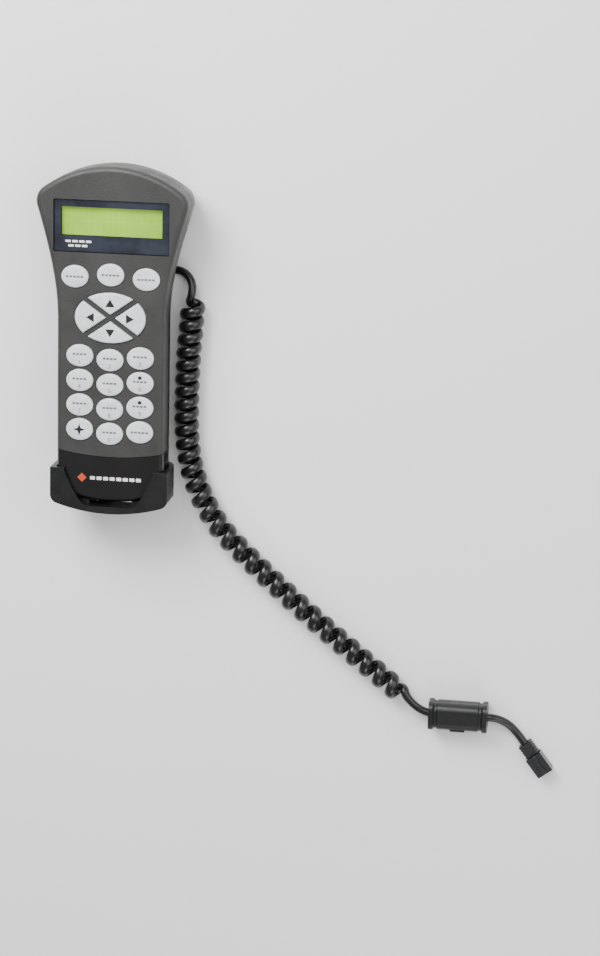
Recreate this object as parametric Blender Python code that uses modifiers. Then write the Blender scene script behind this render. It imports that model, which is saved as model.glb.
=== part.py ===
"""Hand controller of a telescope mount, in its holder, with its curly cord, choke and plug.

Metres, +Z out of the keys' face, +Y towards the display end. The controller lies on its back:
the rear of its head and the holder's two pads rest on z = 0. The origin is on that surface,
under the middle of the controller and holder.
"""
import math

import bmesh
import bpy
from mathutils import Matrix, Vector

# ---- clearances and walls ---------------------------------------------------------------
GAP = 0.0003                # between pieces that touch
KEY_GAP = 0.0004            # round a key in its hole
WALL = 0.0022               # covers
EDGE_RADIUS = 0.003         # rounding of the front face
BOARD_THICKNESS = 0.0016
PIECE_MERGE = 0.00001

# ---- keys -------------------------------------------------------------------------------
KEY_LENGTH = 0.015
KEY_WIDTH = 0.0123
KEY_RISE = 0.0014           # crown above the face
KEY_CROWN = 0.0009          # height of the domed part
KEY_TRAVEL = 0.0012
KEY_FLANGE = 0.0006         # flange that holds a key under the cover
KEY_FLANGE_THICKNESS = 0.0012
COLUMN_PITCH = 0.0169
ROW_PITCH = 0.0138
MIDDLE_DROP = 0.0018        # the grid's middle column sits lower
GRID_ROWS = 4
TOP_KEY_PITCH = 0.0198
TOP_KEY_ARCH = 0.0016       # the middle top key sits higher
PAD_LENGTH = 0.0394
PAD_WIDTH = 0.0278
PAD_BAR = 0.0030            # bars between the direction keys

# ---- display ----------------------------------------------------------------------------
WINDOW_WIDTH = 0.064
WINDOW_HEIGHT = 0.0289
WINDOW_CORNER = 0.0008
LENS_THICKNESS = 0.0014
LENS_RECESS = 0.0011
VIEW_WIDTH = 0.056          # green area
VIEW_HEIGHT = 0.0156
VIEW_DROP = 0.0042          # from the window's top edge to the green area
GLASS_MARGIN = 0.0012
GLASS_THICKNESS = 0.0022
FRAME_WALL = 0.0010
BACKLIGHT_THICKNESS = 0.0028
DISPLAY_BOARD_MARGIN = 0.0020
HEADER_WIDTH = 0.0400
HEADER_LENGTH = 0.0025
HEADER_HEIGHT = 0.0025

# ---- distances down the face ------------------------------------------------------------
HEAD_TOP_MARGIN = 0.0183    # top of the head to the window
WINDOW_TO_KEYS = 0.0131     # window to the centres of the top keys
KEYS_TO_PAD = 0.0221
PAD_TO_GRID = 0.0216
GRID_TO_CHIN = 0.0152
CHIN_LENGTH = 0.0257
WINDOW_TOP = HEAD_TOP_MARGIN
WINDOW_END = WINDOW_TOP + WINDOW_HEIGHT
TOP_ROW = WINDOW_END + WINDOW_TO_KEYS
PAD_ROW = TOP_ROW + KEYS_TO_PAD
GRID_ROW = PAD_ROW + PAD_TO_GRID
LAST_ROW = GRID_ROW + (GRID_ROWS - 1) * ROW_PITCH
CHIN_LINE = LAST_ROW + GRID_TO_CHIN
HOUSING_LENGTH = CHIN_LINE + CHIN_LENGTH

# ---- housing outline --------------------------------------------------------------------
HEAD_SIDE_MARGIN = 0.010    # window to the widest part of the head
KEY_SIDE_MARGIN = 0.0056    # outer keys to the side of the body
HALF_HEAD = WINDOW_WIDTH / 2 + HEAD_SIDE_MARGIN
HALF_BODY = COLUMN_PITCH + KEY_LENGTH / 2 + KEY_SIDE_MARGIN
TOP_RADIUS = 0.0642
HEAD_CORNER = 0.009
SHOULDER_SLOPE = 0.29       # how steeply the head narrows below its widest part
WAIST = 0.084               # from the top to where the sides run straight
END_RADIUS = 0.090
END_CORNER = 0.004
LEAST_CORNER = 0.0008
CHIN_BOW = 0.140            # radius of the line between face and chin
CHIN_HALF_GAP = 0.00015

# ---- depths -----------------------------------------------------------------------------
HEAD_DEPTH = 0.036
BODY_DEPTH = 0.026
PARTING_DEPTH = 0.012       # from the face to the joint between the covers
REAR_CORNER = 0.010
REAR_STRAIGHT = 0.25        # share of the rear cover's depth that stands upright
BULGE_START = 0.036         # the rear cover grows shallower from here
BULGE_END = 0.058
FACE_Z = HEAD_DEPTH
PARTING_Z = FACE_Z - PARTING_DEPTH
INNER_FACE_Z = FACE_Z - WALL
BODY_REAR_Z = FACE_Z - BODY_DEPTH

# ---- screws -----------------------------------------------------------------------------
SCREW_RADIUS = 0.0012
SCREW_HEAD_RADIUS = 0.0024
SCREW_HEAD_HEIGHT = 0.0018
SCREW_CLEARANCE = 0.0003
SOCKET_DRIVE_RADIUS = 0.0009
BOSS_WALL = 0.0016
BOSS_RADIUS = SCREW_RADIUS + SCREW_CLEARANCE + BOSS_WALL
POST_WALL = 0.0011
POST_RADIUS = SCREW_HEAD_RADIUS + SCREW_CLEARANCE + POST_WALL
POST_FLOOR = 0.0020
SEAT_Z = BODY_REAR_Z + 0.004   # where the housing screws' heads seat
HEAD_SCREW_RISE = 0.0028      # head screws above the window
HEAD_SCREW_ROW = HEAD_TOP_MARGIN - HEAD_SCREW_RISE
HEAD_SCREW_X = WINDOW_WIDTH / 2 - 0.008
CHIN_SCREW_ROW = CHIN_LINE + 0.0080
CHIN_SCREW_X = HALF_BODY - REAR_CORNER - 0.0005
BOARD_SCREW_ROW = (TOP_ROW + PAD_ROW) / 2 + KEY_GAP
BOARD_SCREW_OFFSET = 0.0034  # outward from the outer top keys
BOARD_SCREW_X = TOP_KEY_PITCH + BOARD_SCREW_OFFSET
FOOT_SCREW_ROW = LAST_ROW + MIDDLE_DROP + KEY_WIDTH / 2 + KEY_FLANGE + GAP + BOSS_RADIUS + KEY_GAP

# ---- boards -----------------------------------------------------------------------------
MAT_THICKNESS = 0.0010
KEY_BASE_Z = INNER_FACE_Z - GAP - KEY_FLANGE_THICKNESS
MAT_TOP_Z = KEY_BASE_Z - KEY_TRAVEL - GAP
MAT_Z = MAT_TOP_Z - MAT_THICKNESS
BOARD_TOP_Z = MAT_Z - GAP
BOARD_Z = BOARD_TOP_Z - BOARD_THICKNESS
BOARD_SIDE_GAP = 0.0008
WINDOW_TO_BOARD = 0.0068
BOARD_START = WINDOW_END + WINDOW_TO_BOARD
BOARD_CORNER = 0.003
CHIP_SIZE = 0.012
CHIP_HEIGHT = 0.0020

# ---- lower end --------------------------------------------------------------------------
SOCKET_X = 0.0055
SOCKET_RISE = 0.0075        # above the body's rear
SOCKET_Z = BODY_REAR_Z + SOCKET_RISE
SOCKET_WIDTH = 0.0100
SOCKET_HEIGHT = 0.0086
SOCKET_DEPTH = 0.0120
SOCKET_MOUTH_WIDTH = 0.0077
SOCKET_MOUTH_HEIGHT = 0.0064
SOCKET_MOUTH_DEPTH = 0.0100
EXIT_X = -0.0070
EXIT_RISE = 0.0076
EXIT_Z = BODY_REAR_Z + EXIT_RISE
BOOT_BASE_RADIUS = 0.0038
BOOT_TIP_RADIUS = 0.0027
BOOT_BEND = 0.0056
BOOT_ROOT = 0.0030          # length inside the housing
BOOT_LEG = 0.0010           # straight part before its bend
BOOT_STEPS = 6

# ---- holder -----------------------------------------------------------------------------
HOLDER_GAP = 0.0004
HOLDER_WALL = 0.0026
HOLDER_GRIP = 0.0190        # length of housing inside the holder
HOLDER_RELIEF = 0.0020      # open space below the housing over the slot
HOLDER_RIM = 0.0040
HOLDER_FRONT = 0.0024       # thickness of the front lips
LIP_WIDTH = 0.0080          # lips at the top edge, from the outside
HOLDER_CORNER = 0.005
SLOT_HALF = 0.0120          # half width of the cord slot
SLOT_DEPTH = 0.0150         # from the body's rear to where the rim closes the slot
SLOT_TOP_Z = BODY_REAR_Z + SLOT_DEPTH
PAD_RADIUS = 0.0050
PAD_X = 0.0215
HOLDER_SCREW_RADIUS = 0.0016
HOLDER_HEAD_RADIUS = 0.0029
HOLDER_HEAD_HEIGHT = 0.0018
HOLDER_WELL_SPARE = 0.0009   # depth left over a holder screw's head
PAD_Z_SEAT = BODY_REAR_Z - HOLDER_GAP - HOLDER_HEAD_HEIGHT - HOLDER_WELL_SPARE
CONTROLLER_TRAVEL = 0.032
HOLDER_EXTRA = HOLDER_RELIEF + HOLDER_RIM

TOP_Y = (HOUSING_LENGTH + HOLDER_EXTRA) / 2
END_CENTRE_Y = TOP_Y - HOUSING_LENGTH + END_RADIUS
HOLDER_TOP_Y = TOP_Y - HOUSING_LENGTH + HOLDER_GRIP
HOLDER_PAD_RISE = 0.0075    # pads above the housing's lower end
PAD_Y = TOP_Y - HOUSING_LENGTH + HOLDER_PAD_RISE

# ---- cord -------------------------------------------------------------------------------
CORD_DIAMETER = 0.0046
CURL_DIAMETER = 0.0143
BOOT_END = Vector((EXIT_X, TOP_Y - HOUSING_LENGTH - BOOT_LEG - BOOT_BEND, EXIT_Z - BOOT_BEND))
FLOOR_CORD_Z = CORD_DIAMETER / 2
LEAD_ROUTE = [
    (BOOT_END.x, BOOT_END.y, BOOT_END.z - 0.0009),
    (-0.0070, -0.0966, 0.0090),
    (-0.0070, -0.0953, 0.0066),
    (-0.0070, -0.0921, 0.0036),
    (-0.0068, -0.0876, 0.0024),
    (-0.0060, -0.0800, FLOOR_CORD_Z),
    (-0.0040, -0.0640, FLOOR_CORD_Z),
    (0.0015, -0.0420, FLOOR_CORD_Z),
    (0.0085, -0.0200, FLOOR_CORD_Z),
    (0.0135, 0.0020, FLOOR_CORD_Z),
    (0.0162, 0.0200, FLOOR_CORD_Z),
    (0.0205, 0.0310, FLOOR_CORD_Z),
    (0.0285, 0.0365, FLOOR_CORD_Z),
    (0.0365, 0.0345, 0.0034),
    (0.0407, 0.0285, 0.0060),
    (0.0405, 0.0222, 0.0071),
]
CURL_ROUTE = [
    (0.0405, 0.0214), (0.0396, 0.0080), (0.0382, -0.0120), (0.0376, -0.0350), (0.0380, -0.0560),
    (0.0405, -0.0730), (0.0455, -0.0880), (0.0530, -0.1020), (0.0625, -0.1140), (0.0760, -0.1270),
    (0.0900, -0.1395), (0.1045, -0.1520), (0.1215, -0.1660), (0.1380, -0.1790), (0.1540, -0.1915),
    (0.1660, -0.2010),
]
TAIL_ROUTE = [
    (0.1667, -0.2016, 0.0071), (0.1693, -0.2042, 0.0071), (0.1722, -0.2070, 0.0072),
    (0.1755, -0.2088, 0.0074), (0.1790, -0.2095, 0.0075), (0.1960, -0.2095, 0.0075),
    (0.2130, -0.2095, 0.0074), (0.2195, -0.2108, 0.0062), (0.2250, -0.2143, 0.0042),
    (0.2297, -0.2193, 0.0033), (0.2337, -0.2245, 0.0033),
]
CHOKE_CENTRE = Vector((0.1960, -0.2095, 0.0075))
CHOKE_LENGTH = 0.0330
CHOKE_WIDTH = 0.0165
CHOKE_WALL = 0.0014
CHOKE_CORNER = 0.0022
CHOKE_BORE = CORD_DIAMETER / 2 + GAP
CORE_LENGTH = 0.0280
CORE_RADIUS = 0.0062
PLUG_LENGTH = 0.0125
PLUG_WIDTH = 0.0097
PLUG_HEIGHT = 0.0066
PLUG_BOOT_LENGTH = 0.0080
LATCH_THICKNESS = 0.0011
SIDES = 28


def clear_scene():
    for item in list(bpy.data.objects):
        bpy.data.objects.remove(item, do_unlink=True)


def new_collection(name):
    made = bpy.data.collections.new(name)
    bpy.context.scene.collection.children.link(made)
    return made


clear_scene()
PARTS = new_collection("hand_controller")
CUTTERS = new_collection("cutters")


def material(name, colour, roughness, metallic=0.0):
    made = bpy.data.materials.get(name)
    if made is None:
        made = bpy.data.materials.new(name)
        made.use_nodes = True
        shader = made.node_tree.nodes["Principled BSDF"]
        shader.inputs["Base Color"].default_value = (*colour, 1.0)
        shader.inputs["Roughness"].default_value = roughness
        shader.inputs["Metallic"].default_value = metallic
    return made


def grey_plastic():
    return material("grey_plastic", (0.11, 0.11, 0.11), 0.55)


def black_plastic():
    return material("black_plastic", (0.015, 0.015, 0.016), 0.4)


def key_plastic():
    return material("key_rubber", (0.72, 0.74, 0.75), 0.5)


def steel():
    return material("screw_steel", (0.5, 0.5, 0.5), 0.35, 1.0)


def board_green():
    return material("circuit_board", (0.02, 0.16, 0.06), 0.5)


def place(name, data, finish, location=(0, 0, 0), turn=0.0):
    made = bpy.data.objects.new(name, data)
    made.location = location
    made.rotation_euler = (0, 0, turn)
    PARTS.objects.link(made)
    if hasattr(data, "materials"):
        data.materials.append(finish)
    return made


def cutter(name, data):
    made = bpy.data.objects.new(name, data)
    made.hide_render = True
    made.display_type = "WIRE"
    CUTTERS.objects.link(made)
    return made


def mesh_from(bm, name):
    bmesh.ops.recalc_face_normals(bm, faces=bm.faces)
    data = bpy.data.meshes.new(name)
    bm.to_mesh(data)
    bm.free()
    return data


def box_into(bm, low, high):
    centre = (Vector(low) + Vector(high)) / 2
    size = Vector(high) - Vector(low)
    bmesh.ops.create_cube(bm, size=1, matrix=Matrix.Translation(centre) @ Matrix.Diagonal((*size, 1)))


def box_mesh(name, low, high):
    bm = bmesh.new()
    box_into(bm, low, high)
    return mesh_from(bm, name)


def rod_into(bm, start, end, radius, sides=SIDES):
    start, end = Vector(start), Vector(end)
    turn = (end - start).to_track_quat("Z", "Y").to_matrix().to_4x4()
    matrix = Matrix.Translation((start + end) / 2) @ turn
    depth = (end - start).length
    bmesh.ops.create_cone(bm, cap_ends=True, segments=sides, radius1=radius, radius2=radius,
                          depth=depth, matrix=matrix)


def rods_mesh(name, rods, sides=SIDES):
    bm = bmesh.new()
    for start, end, radius in rods:
        rod_into(bm, start, end, radius, sides)
    return mesh_from(bm, name)


def stack_into(bm, outlines):
    """Close a solid through rings of points that have the same count."""
    rings = [[bm.verts.new(point) for point in outline] for outline in outlines]
    count = len(rings[0])
    for low, high in zip(rings, rings[1:]):
        for i in range(count):
            bm.faces.new((low[i], low[(i + 1) % count], high[(i + 1) % count], high[i]))
    bm.faces.new(rings[0])
    bm.faces.new(rings[-1])


def prism_into(bm, points, low, high):
    stack_into(bm, [[(x, y, z) for x, y in points] for z in (low, high)])


def prism_mesh(name, points, low, high):
    bm = bmesh.new()
    prism_into(bm, points, low, high)
    return mesh_from(bm, name)


def cut(obj, tool, operation="DIFFERENCE"):
    change = obj.modifiers.new(tool.name, "BOOLEAN")
    change.operation = operation
    change.solver = "EXACT"
    change.object = tool


def bevel(obj, width, segments=2, angle=30):
    change = obj.modifiers.new("edges", "BEVEL")
    change.width = width
    change.segments = segments
    change.limit_method = "ANGLE"
    change.angle_limit = math.radians(angle)


def turned(name, profile, finish, location, steps=SIDES, scale=(1, 1, 1)):
    """A turned solid; the profile runs from the top of the axis down its outer side."""
    data = bpy.data.meshes.new(name)
    count = len(profile)
    data.from_pydata([(r, 0, z) for r, z in profile], [(i, i + 1) for i in range(count - 1)], [])
    made = place(name, data, finish, location)
    made.scale = scale
    change = made.modifiers.new("turn", "SCREW")
    change.steps = steps
    change.render_steps = steps
    change.use_merge_vertices = True
    change.merge_threshold = PIECE_MERGE
    return made


def smooth_path(route, spacing):
    """Points at an even spacing along a smooth curve through the route."""
    route = [Vector(p) for p in route]
    ends = [route[0] * 2 - route[1]] + route + [route[-1] * 2 - route[-2]]
    fine = []
    for a, b, c, d in zip(ends, ends[1:], ends[2:], ends[3:]):
        for step in range(16):
            t = step / 16
            fine.append(0.5 * (2 * b + (c - a) * t + (2 * a - 5 * b + 4 * c - d) * t * t
                               + (3 * b - a - 3 * c + d) * t ** 3))
    fine.append(route[-1])
    length = sum((q - p).length for p, q in zip(fine, fine[1:]))
    count = max(2, round(length / spacing))
    picked, run, wanted = [fine[0]], 0.0, length / count
    for p, q in zip(fine, fine[1:]):
        part = (q - p).length
        while run + part >= wanted and len(picked) < count:
            picked.append(p.lerp(q, (wanted - run) / part))
            wanted += length / count
        run += part
    picked.append(fine[-1])
    return picked


def tube(name, points, diameter, finish, resolution, radii=None):
    data = bpy.data.curves.new(name, "CURVE")
    data.dimensions = "3D"
    data.bevel_depth = diameter / 2
    data.bevel_resolution = resolution
    data.use_fill_caps = True
    spline = data.splines.new("POLY")
    spline.points.add(len(points) - 1)
    for i, point in enumerate(points):
        spline.points[i].co = (*point, 1)
        spline.points[i].radius = radii[i] if radii else 1.0
    return place(name, data, finish)


def ellipse(half_x, half_y, x=0.0, y=0.0, sides=SIDES):
    turns = [2 * math.pi * i / sides for i in range(sides)]
    return [(x + half_x * math.cos(a), y + half_y * math.sin(a)) for a in turns]


def rounded_box(half_x, half_y, radius, x=0.0, y=0.0, steps=3):
    points = []
    for quarter, (sx, sy) in enumerate(((1, 1), (-1, 1), (-1, -1), (1, -1))):
        for i in range(steps + 1):
            a = math.pi / 2 * (quarter + i / steps)
            points.append((x + sx * (half_x - radius) + radius * math.cos(a),
                           y + sy * (half_y - radius) + radius * math.sin(a)))
    return points


def arc(centre_y, radius, first, last, steps, centre_x=0.0):
    angles = [math.radians(first + (last - first) * i / steps) for i in range(steps + 1)]
    return [(centre_x + radius * math.cos(a), centre_y + radius * math.sin(a)) for a in angles]


def end_points(half_width, radius, corner):
    """Side, corner and bowed end of the right half, down to the middle line."""
    corner_x = half_width - corner
    corner_y = END_CENTRE_Y - math.sqrt((radius - corner) ** 2 - corner_x ** 2)
    turn = -math.degrees(math.acos(corner_x / (radius - corner)))
    return (arc(corner_y, corner, 0, turn, 4, corner_x)
            + arc(END_CENTRE_Y, radius, turn, -90, 5)[1:])


def half_outline(inset):
    """Right half of the housing's outline from the top, moved in by inset."""
    top_radius = TOP_RADIUS - inset
    corner = max(HEAD_CORNER - inset, LEAST_CORNER)
    corner_x = HALF_HEAD - inset - corner
    centre_y = TOP_Y - TOP_RADIUS
    corner_y = centre_y + math.sqrt((top_radius - corner) ** 2 - corner_x ** 2)
    turn = math.degrees(math.acos(corner_x / (top_radius - corner)))
    points = arc(centre_y, top_radius, 90, turn, 8)
    lean = -math.degrees(math.atan(SHOULDER_SLOPE))
    points += arc(corner_y, corner, turn, lean, 6, corner_x)[1:]
    start_x, start_y = points[-1]
    end_x, end_y = HALF_BODY - inset, TOP_Y - WAIST
    run = start_y - end_y
    for i in range(1, 9):
        t = i / 8
        x = (start_x * (2 * t ** 3 - 3 * t ** 2 + 1) + end_x * (3 * t ** 2 - 2 * t ** 3)
             - SHOULDER_SLOPE * run * (t ** 3 - 2 * t ** 2 + t))
        points.append((x, start_y - run * t))
    points += end_points(HALF_BODY - inset, END_RADIUS - inset, max(END_CORNER - inset, LEAST_CORNER))
    points[0] = (0.0, points[0][1])
    points[-1] = (0.0, points[-1][1])
    return points


def full_outline(inset):
    half = half_outline(inset)
    return half + [(-x, y) for x, y in reversed(half[1:-1])]


def rear_z(y):
    """Height of the rear cover's back at y: 0 under the head, higher under the body."""
    t = min(max((TOP_Y - y - BULGE_START) / (BULGE_END - BULGE_START), 0.0), 1.0)
    return BODY_REAR_Z * t * t * (3 - 2 * t)


def shell_half(name, rings, finish):
    """A cover from rings on the right half, mirrored and given its wall."""
    bm = bmesh.new()
    grid = [[bm.verts.new(point) for point in ring] for ring in rings]
    for upper, lower in zip(grid, grid[1:]):
        for i in range(len(upper) - 1):
            bm.faces.new((upper[i], lower[i], lower[i + 1], upper[i + 1]))
    last = grid[-1]
    middle = [last[0]] + [bm.verts.new((0, v.co.y, v.co.z)) for v in last[1:-1]] + [last[-1]]
    for i in range(len(last) - 1):
        face = [last[i], middle[i], middle[i + 1], last[i + 1]]
        bm.faces.new(list(dict.fromkeys(face)))
    data = mesh_from(bm, name)
    made = place(name, data, finish)
    mirror = made.modifiers.new("other_half", "MIRROR")
    mirror.use_clip = True
    mirror.merge_threshold = PIECE_MERGE
    wall = made.modifiers.new("wall", "SOLIDIFY")
    wall.thickness = WALL
    wall.offset = -1
    wall.use_even_offset = True
    return made


def front_rings():
    rings = [[(x, y, PARTING_Z + GAP / 2) for x, y in half_outline(0)]]
    for step in range(5):
        a = math.pi / 2 * step / 4
        inset = EDGE_RADIUS * (1 - math.cos(a))
        z = FACE_Z - EDGE_RADIUS * (1 - math.sin(a))
        rings.append([(x, y, z) for x, y in half_outline(inset)])
    return rings


def rear_rings():
    top = PARTING_Z - GAP / 2
    rings = [[(x, y, top) for x, y in half_outline(0)]]
    for step in range(6):
        a = math.pi / 2 * step / 5
        share = REAR_STRAIGHT + (1 - REAR_STRAIGHT) * math.sin(a)
        inset = REAR_CORNER * (1 - math.cos(a))
        rings.append([(x, y, top - (top - rear_z(y)) * share) for x, y in half_outline(inset)])
    return rings


def both_sides(x):
    return (-x, x)


def housing_screw_places():
    head = [(x, TOP_Y - HEAD_SCREW_ROW) for x in both_sides(HEAD_SCREW_X)]
    chin = [(x, TOP_Y - CHIN_SCREW_ROW) for x in both_sides(CHIN_SCREW_X)]
    return head + chin


def board_screw_places():
    upper = [(x, TOP_Y - BOARD_SCREW_ROW) for x in both_sides(BOARD_SCREW_X)]
    return upper + [(0.0, TOP_Y - FOOT_SCREW_ROW)]


def key_places():
    """Name, x and distance from the top of every oval key."""
    places = []
    for i, name in enumerate(("key_align", "key_enter", "key_undo")):
        arch = TOP_KEY_ARCH if i == 1 else 0.0
        places.append((name, (i - 1) * TOP_KEY_PITCH, TOP_ROW - arch))
    names = ["key_1", "key_2", "key_3", "key_4", "key_5", "key_6",
             "key_7", "key_8", "key_9", "key_star", "key_0", "key_help"]
    for i, name in enumerate(names):
        column, row = i % 3, i // 3
        drop = MIDDLE_DROP if column == 1 else 0.0
        places.append((name, (column - 1) * COLUMN_PITCH, GRID_ROW + row * ROW_PITCH + drop))
    return places


def wedge(direction, bar_half):
    """Sector of the pad between two bars, opening towards direction in degrees."""
    spread = math.atan2(PAD_WIDTH, PAD_LENGTH)
    half = spread if direction % 180 == 0 else math.pi / 2 - spread
    middle = math.radians(direction)
    tip = bar_half / math.sin(half)
    reach = PAD_LENGTH
    points = [(tip * math.cos(middle), tip * math.sin(middle))]
    for side in (-1, 1):
        a = middle + side * half
        points.append((points[0][0] + reach * math.cos(a), points[0][1] + reach * math.sin(a)))
    return points


# ---- housing ----------------------------------------------------------------------------
def boss_rods(low, places):
    return [((x, y, low), (x, y, INNER_FACE_Z + WALL / 2), BOSS_RADIUS) for x, y in places]


def pilot_rods(low, places):
    return [((x, y, low - GAP), (x, y, INNER_FACE_Z - GAP), SCREW_RADIUS + SCREW_CLEARANCE)
            for x, y in places]


def face_openings():
    """Cutter for the window and the holes of the keys."""
    bm = bmesh.new()
    low, high = INNER_FACE_Z - WALL, FACE_Z + WALL
    window = rounded_box(WINDOW_WIDTH / 2, WINDOW_HEIGHT / 2, WINDOW_CORNER,
                         y=TOP_Y - (WINDOW_TOP + WINDOW_END) / 2)
    prism_into(bm, window, low, high)
    for _, x, down in key_places():
        hole = ellipse(KEY_LENGTH / 2 + KEY_GAP, KEY_WIDTH / 2 + KEY_GAP, x, TOP_Y - down)
        prism_into(bm, hole, low, high)
    return cutter("face_openings", mesh_from(bm, "face_openings"))


def pad_openings():
    """One cutter with the four sectors, each a key's gap larger than its key."""
    bm = bmesh.new()
    low, high = INNER_FACE_Z - WALL, FACE_Z + WALL
    y = TOP_Y - PAD_ROW
    for direction in (0, 90, 180, 270):
        points = sector_outline(direction, -KEY_GAP)
        prism_into(bm, [(px, py + y) for px, py in points], low, high)
    return cutter("pad_openings", mesh_from(bm, "pad_openings"))


def sector_outline(direction, inset):
    """A sector key's outline round the pad's centre, made smaller by inset."""
    tip, first, last = wedge(direction, PAD_BAR / 2 + inset)
    half_x, half_y = PAD_LENGTH / 2 - inset, PAD_WIDTH / 2 - inset
    meets = []
    for far in (first, last):
        low, high = 0.0, 1.0
        for _ in range(40):
            t = (low + high) / 2
            x, y = (tip[k] + (far[k] - tip[k]) * t for k in (0, 1))
            inside = (x / half_x) ** 2 + (y / half_y) ** 2 < 1
            low, high = (t, high) if inside else (low, t)
        meets.append(math.atan2(y / half_y, x / half_x))
    turn = (meets[1] - meets[0]) % (2 * math.pi)
    rim = [(half_x * math.cos(meets[0] + turn * i / 10), half_y * math.sin(meets[0] + turn * i / 10))
           for i in range(11)]
    return [tip] + rim


def chin_block(name, shift):
    """Cutter for everything below the bowed line between face and chin."""
    line_y = TOP_Y - CHIN_LINE + shift
    line = [(x, y + line_y + CHIN_BOW) for x, y in arc(0, CHIN_BOW, -110, -70, 10)]
    bottom = TOP_Y - HOUSING_LENGTH - 0.02
    points = line + [(line[-1][0], bottom), (line[0][0], bottom)]
    return cutter(name, prism_mesh(name, points, PARTING_Z - 0.005, FACE_Z + 0.005))


def front_shell(name, finish, openings):
    made = shell_half(name, front_rings(), finish)
    housing = housing_screw_places()
    board = board_screw_places()
    bosses = boss_rods(PARTING_Z + GAP / 2, housing) + boss_rods(BOARD_TOP_Z + GAP, board)
    pilots = pilot_rods(PARTING_Z, housing) + pilot_rods(BOARD_TOP_Z, board)
    cut(made, cutter(name + "_bosses", rods_mesh(name + "_bosses", bosses, 16)), "UNION")
    cut(made, cutter(name + "_pilots", rods_mesh(name + "_pilots", pilots, 12)))
    for opening in openings:
        cut(made, opening)
    return made


def make_covers():
    front = front_shell("front_cover", grey_plastic(), [face_openings(), pad_openings()])
    cut(front, chin_block("below_face", CHIN_HALF_GAP))
    end = front_shell("end_cover", black_plastic(), [])
    cut(end, chin_block("chin_only", -CHIN_HALF_GAP), "INTERSECT")
    make_rear_cover()


def make_rear_cover():
    rear = shell_half("rear_cover", rear_rings(), black_plastic())
    top = PARTING_Z - GAP / 2
    posts, wells = [], []
    for x, y in housing_screw_places():
        base = rear_z(y) + WALL * 0.8
        posts.append(((x, y, base), (x, y, top), POST_RADIUS))
        wells.append(((x, y, rear_z(y) - WALL), (x, y, SEAT_Z), SCREW_HEAD_RADIUS + SCREW_CLEARANCE))
    holes = [((x, y, SEAT_Z - GAP), (x, y, top + GAP), SCREW_RADIUS + SCREW_CLEARANCE)
             for x, y in housing_screw_places()]
    cut(rear, cutter("rear_posts", rods_mesh("rear_posts", posts, 16)), "UNION")
    cut(rear, cutter("screw_wells", rods_mesh("screw_wells", wells, 16)))
    cut(rear, cutter("screw_holes", rods_mesh("screw_holes", holes, 12)))
    end_y = TOP_Y - HOUSING_LENGTH
    mouth = box_mesh("socket_hole", (SOCKET_X - SOCKET_WIDTH / 2 - GAP, end_y - 0.004,
                                     SOCKET_Z - SOCKET_HEIGHT / 2 - GAP),
                     (SOCKET_X + SOCKET_WIDTH / 2 + GAP, end_y + REAR_CORNER,
                      SOCKET_Z + SOCKET_HEIGHT / 2 + GAP))
    cut(rear, cutter("socket_hole", mouth))
    boot_hole = ((EXIT_X, end_y - 0.004, EXIT_Z), (EXIT_X, end_y + REAR_CORNER, EXIT_Z),
                 BOOT_BASE_RADIUS + GAP)
    cut(rear, cutter("boot_hole", rods_mesh("boot_hole", [boot_hole], 20)))


def screw(name, x, y, seat, tip, radius, head_radius, head_height):
    """A pan-head screw with its head below its seat and its tip up."""
    length = tip - seat
    drive = SOCKET_DRIVE_RADIUS * head_radius / SCREW_HEAD_RADIUS
    profile = [(0, length), (radius * 0.6, length), (radius, length - radius * 0.6), (radius, 0),
               (head_radius, 0), (head_radius, -head_height * 0.6),
               (head_radius * 0.75, -head_height), (drive, -head_height),
               (drive, -head_height * 0.4), (0, -head_height * 0.4)]
    return turned(name, profile, steel(), (x, y, seat), 12)


def make_screws():
    for i, (x, y) in enumerate(housing_screw_places(), 1):
        screw(f"housing_screw_{i}", x, y, SEAT_Z - GAP, INNER_FACE_Z - 0.002, SCREW_RADIUS,
              SCREW_HEAD_RADIUS, SCREW_HEAD_HEIGHT)
    for i, (x, y) in enumerate(board_screw_places(), 1):
        screw(f"board_screw_{i}", x, y, BOARD_Z - GAP, INNER_FACE_Z - 0.001, SCREW_RADIUS * 0.8,
              SCREW_HEAD_RADIUS * 0.8, SCREW_HEAD_HEIGHT * 0.8)


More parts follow.
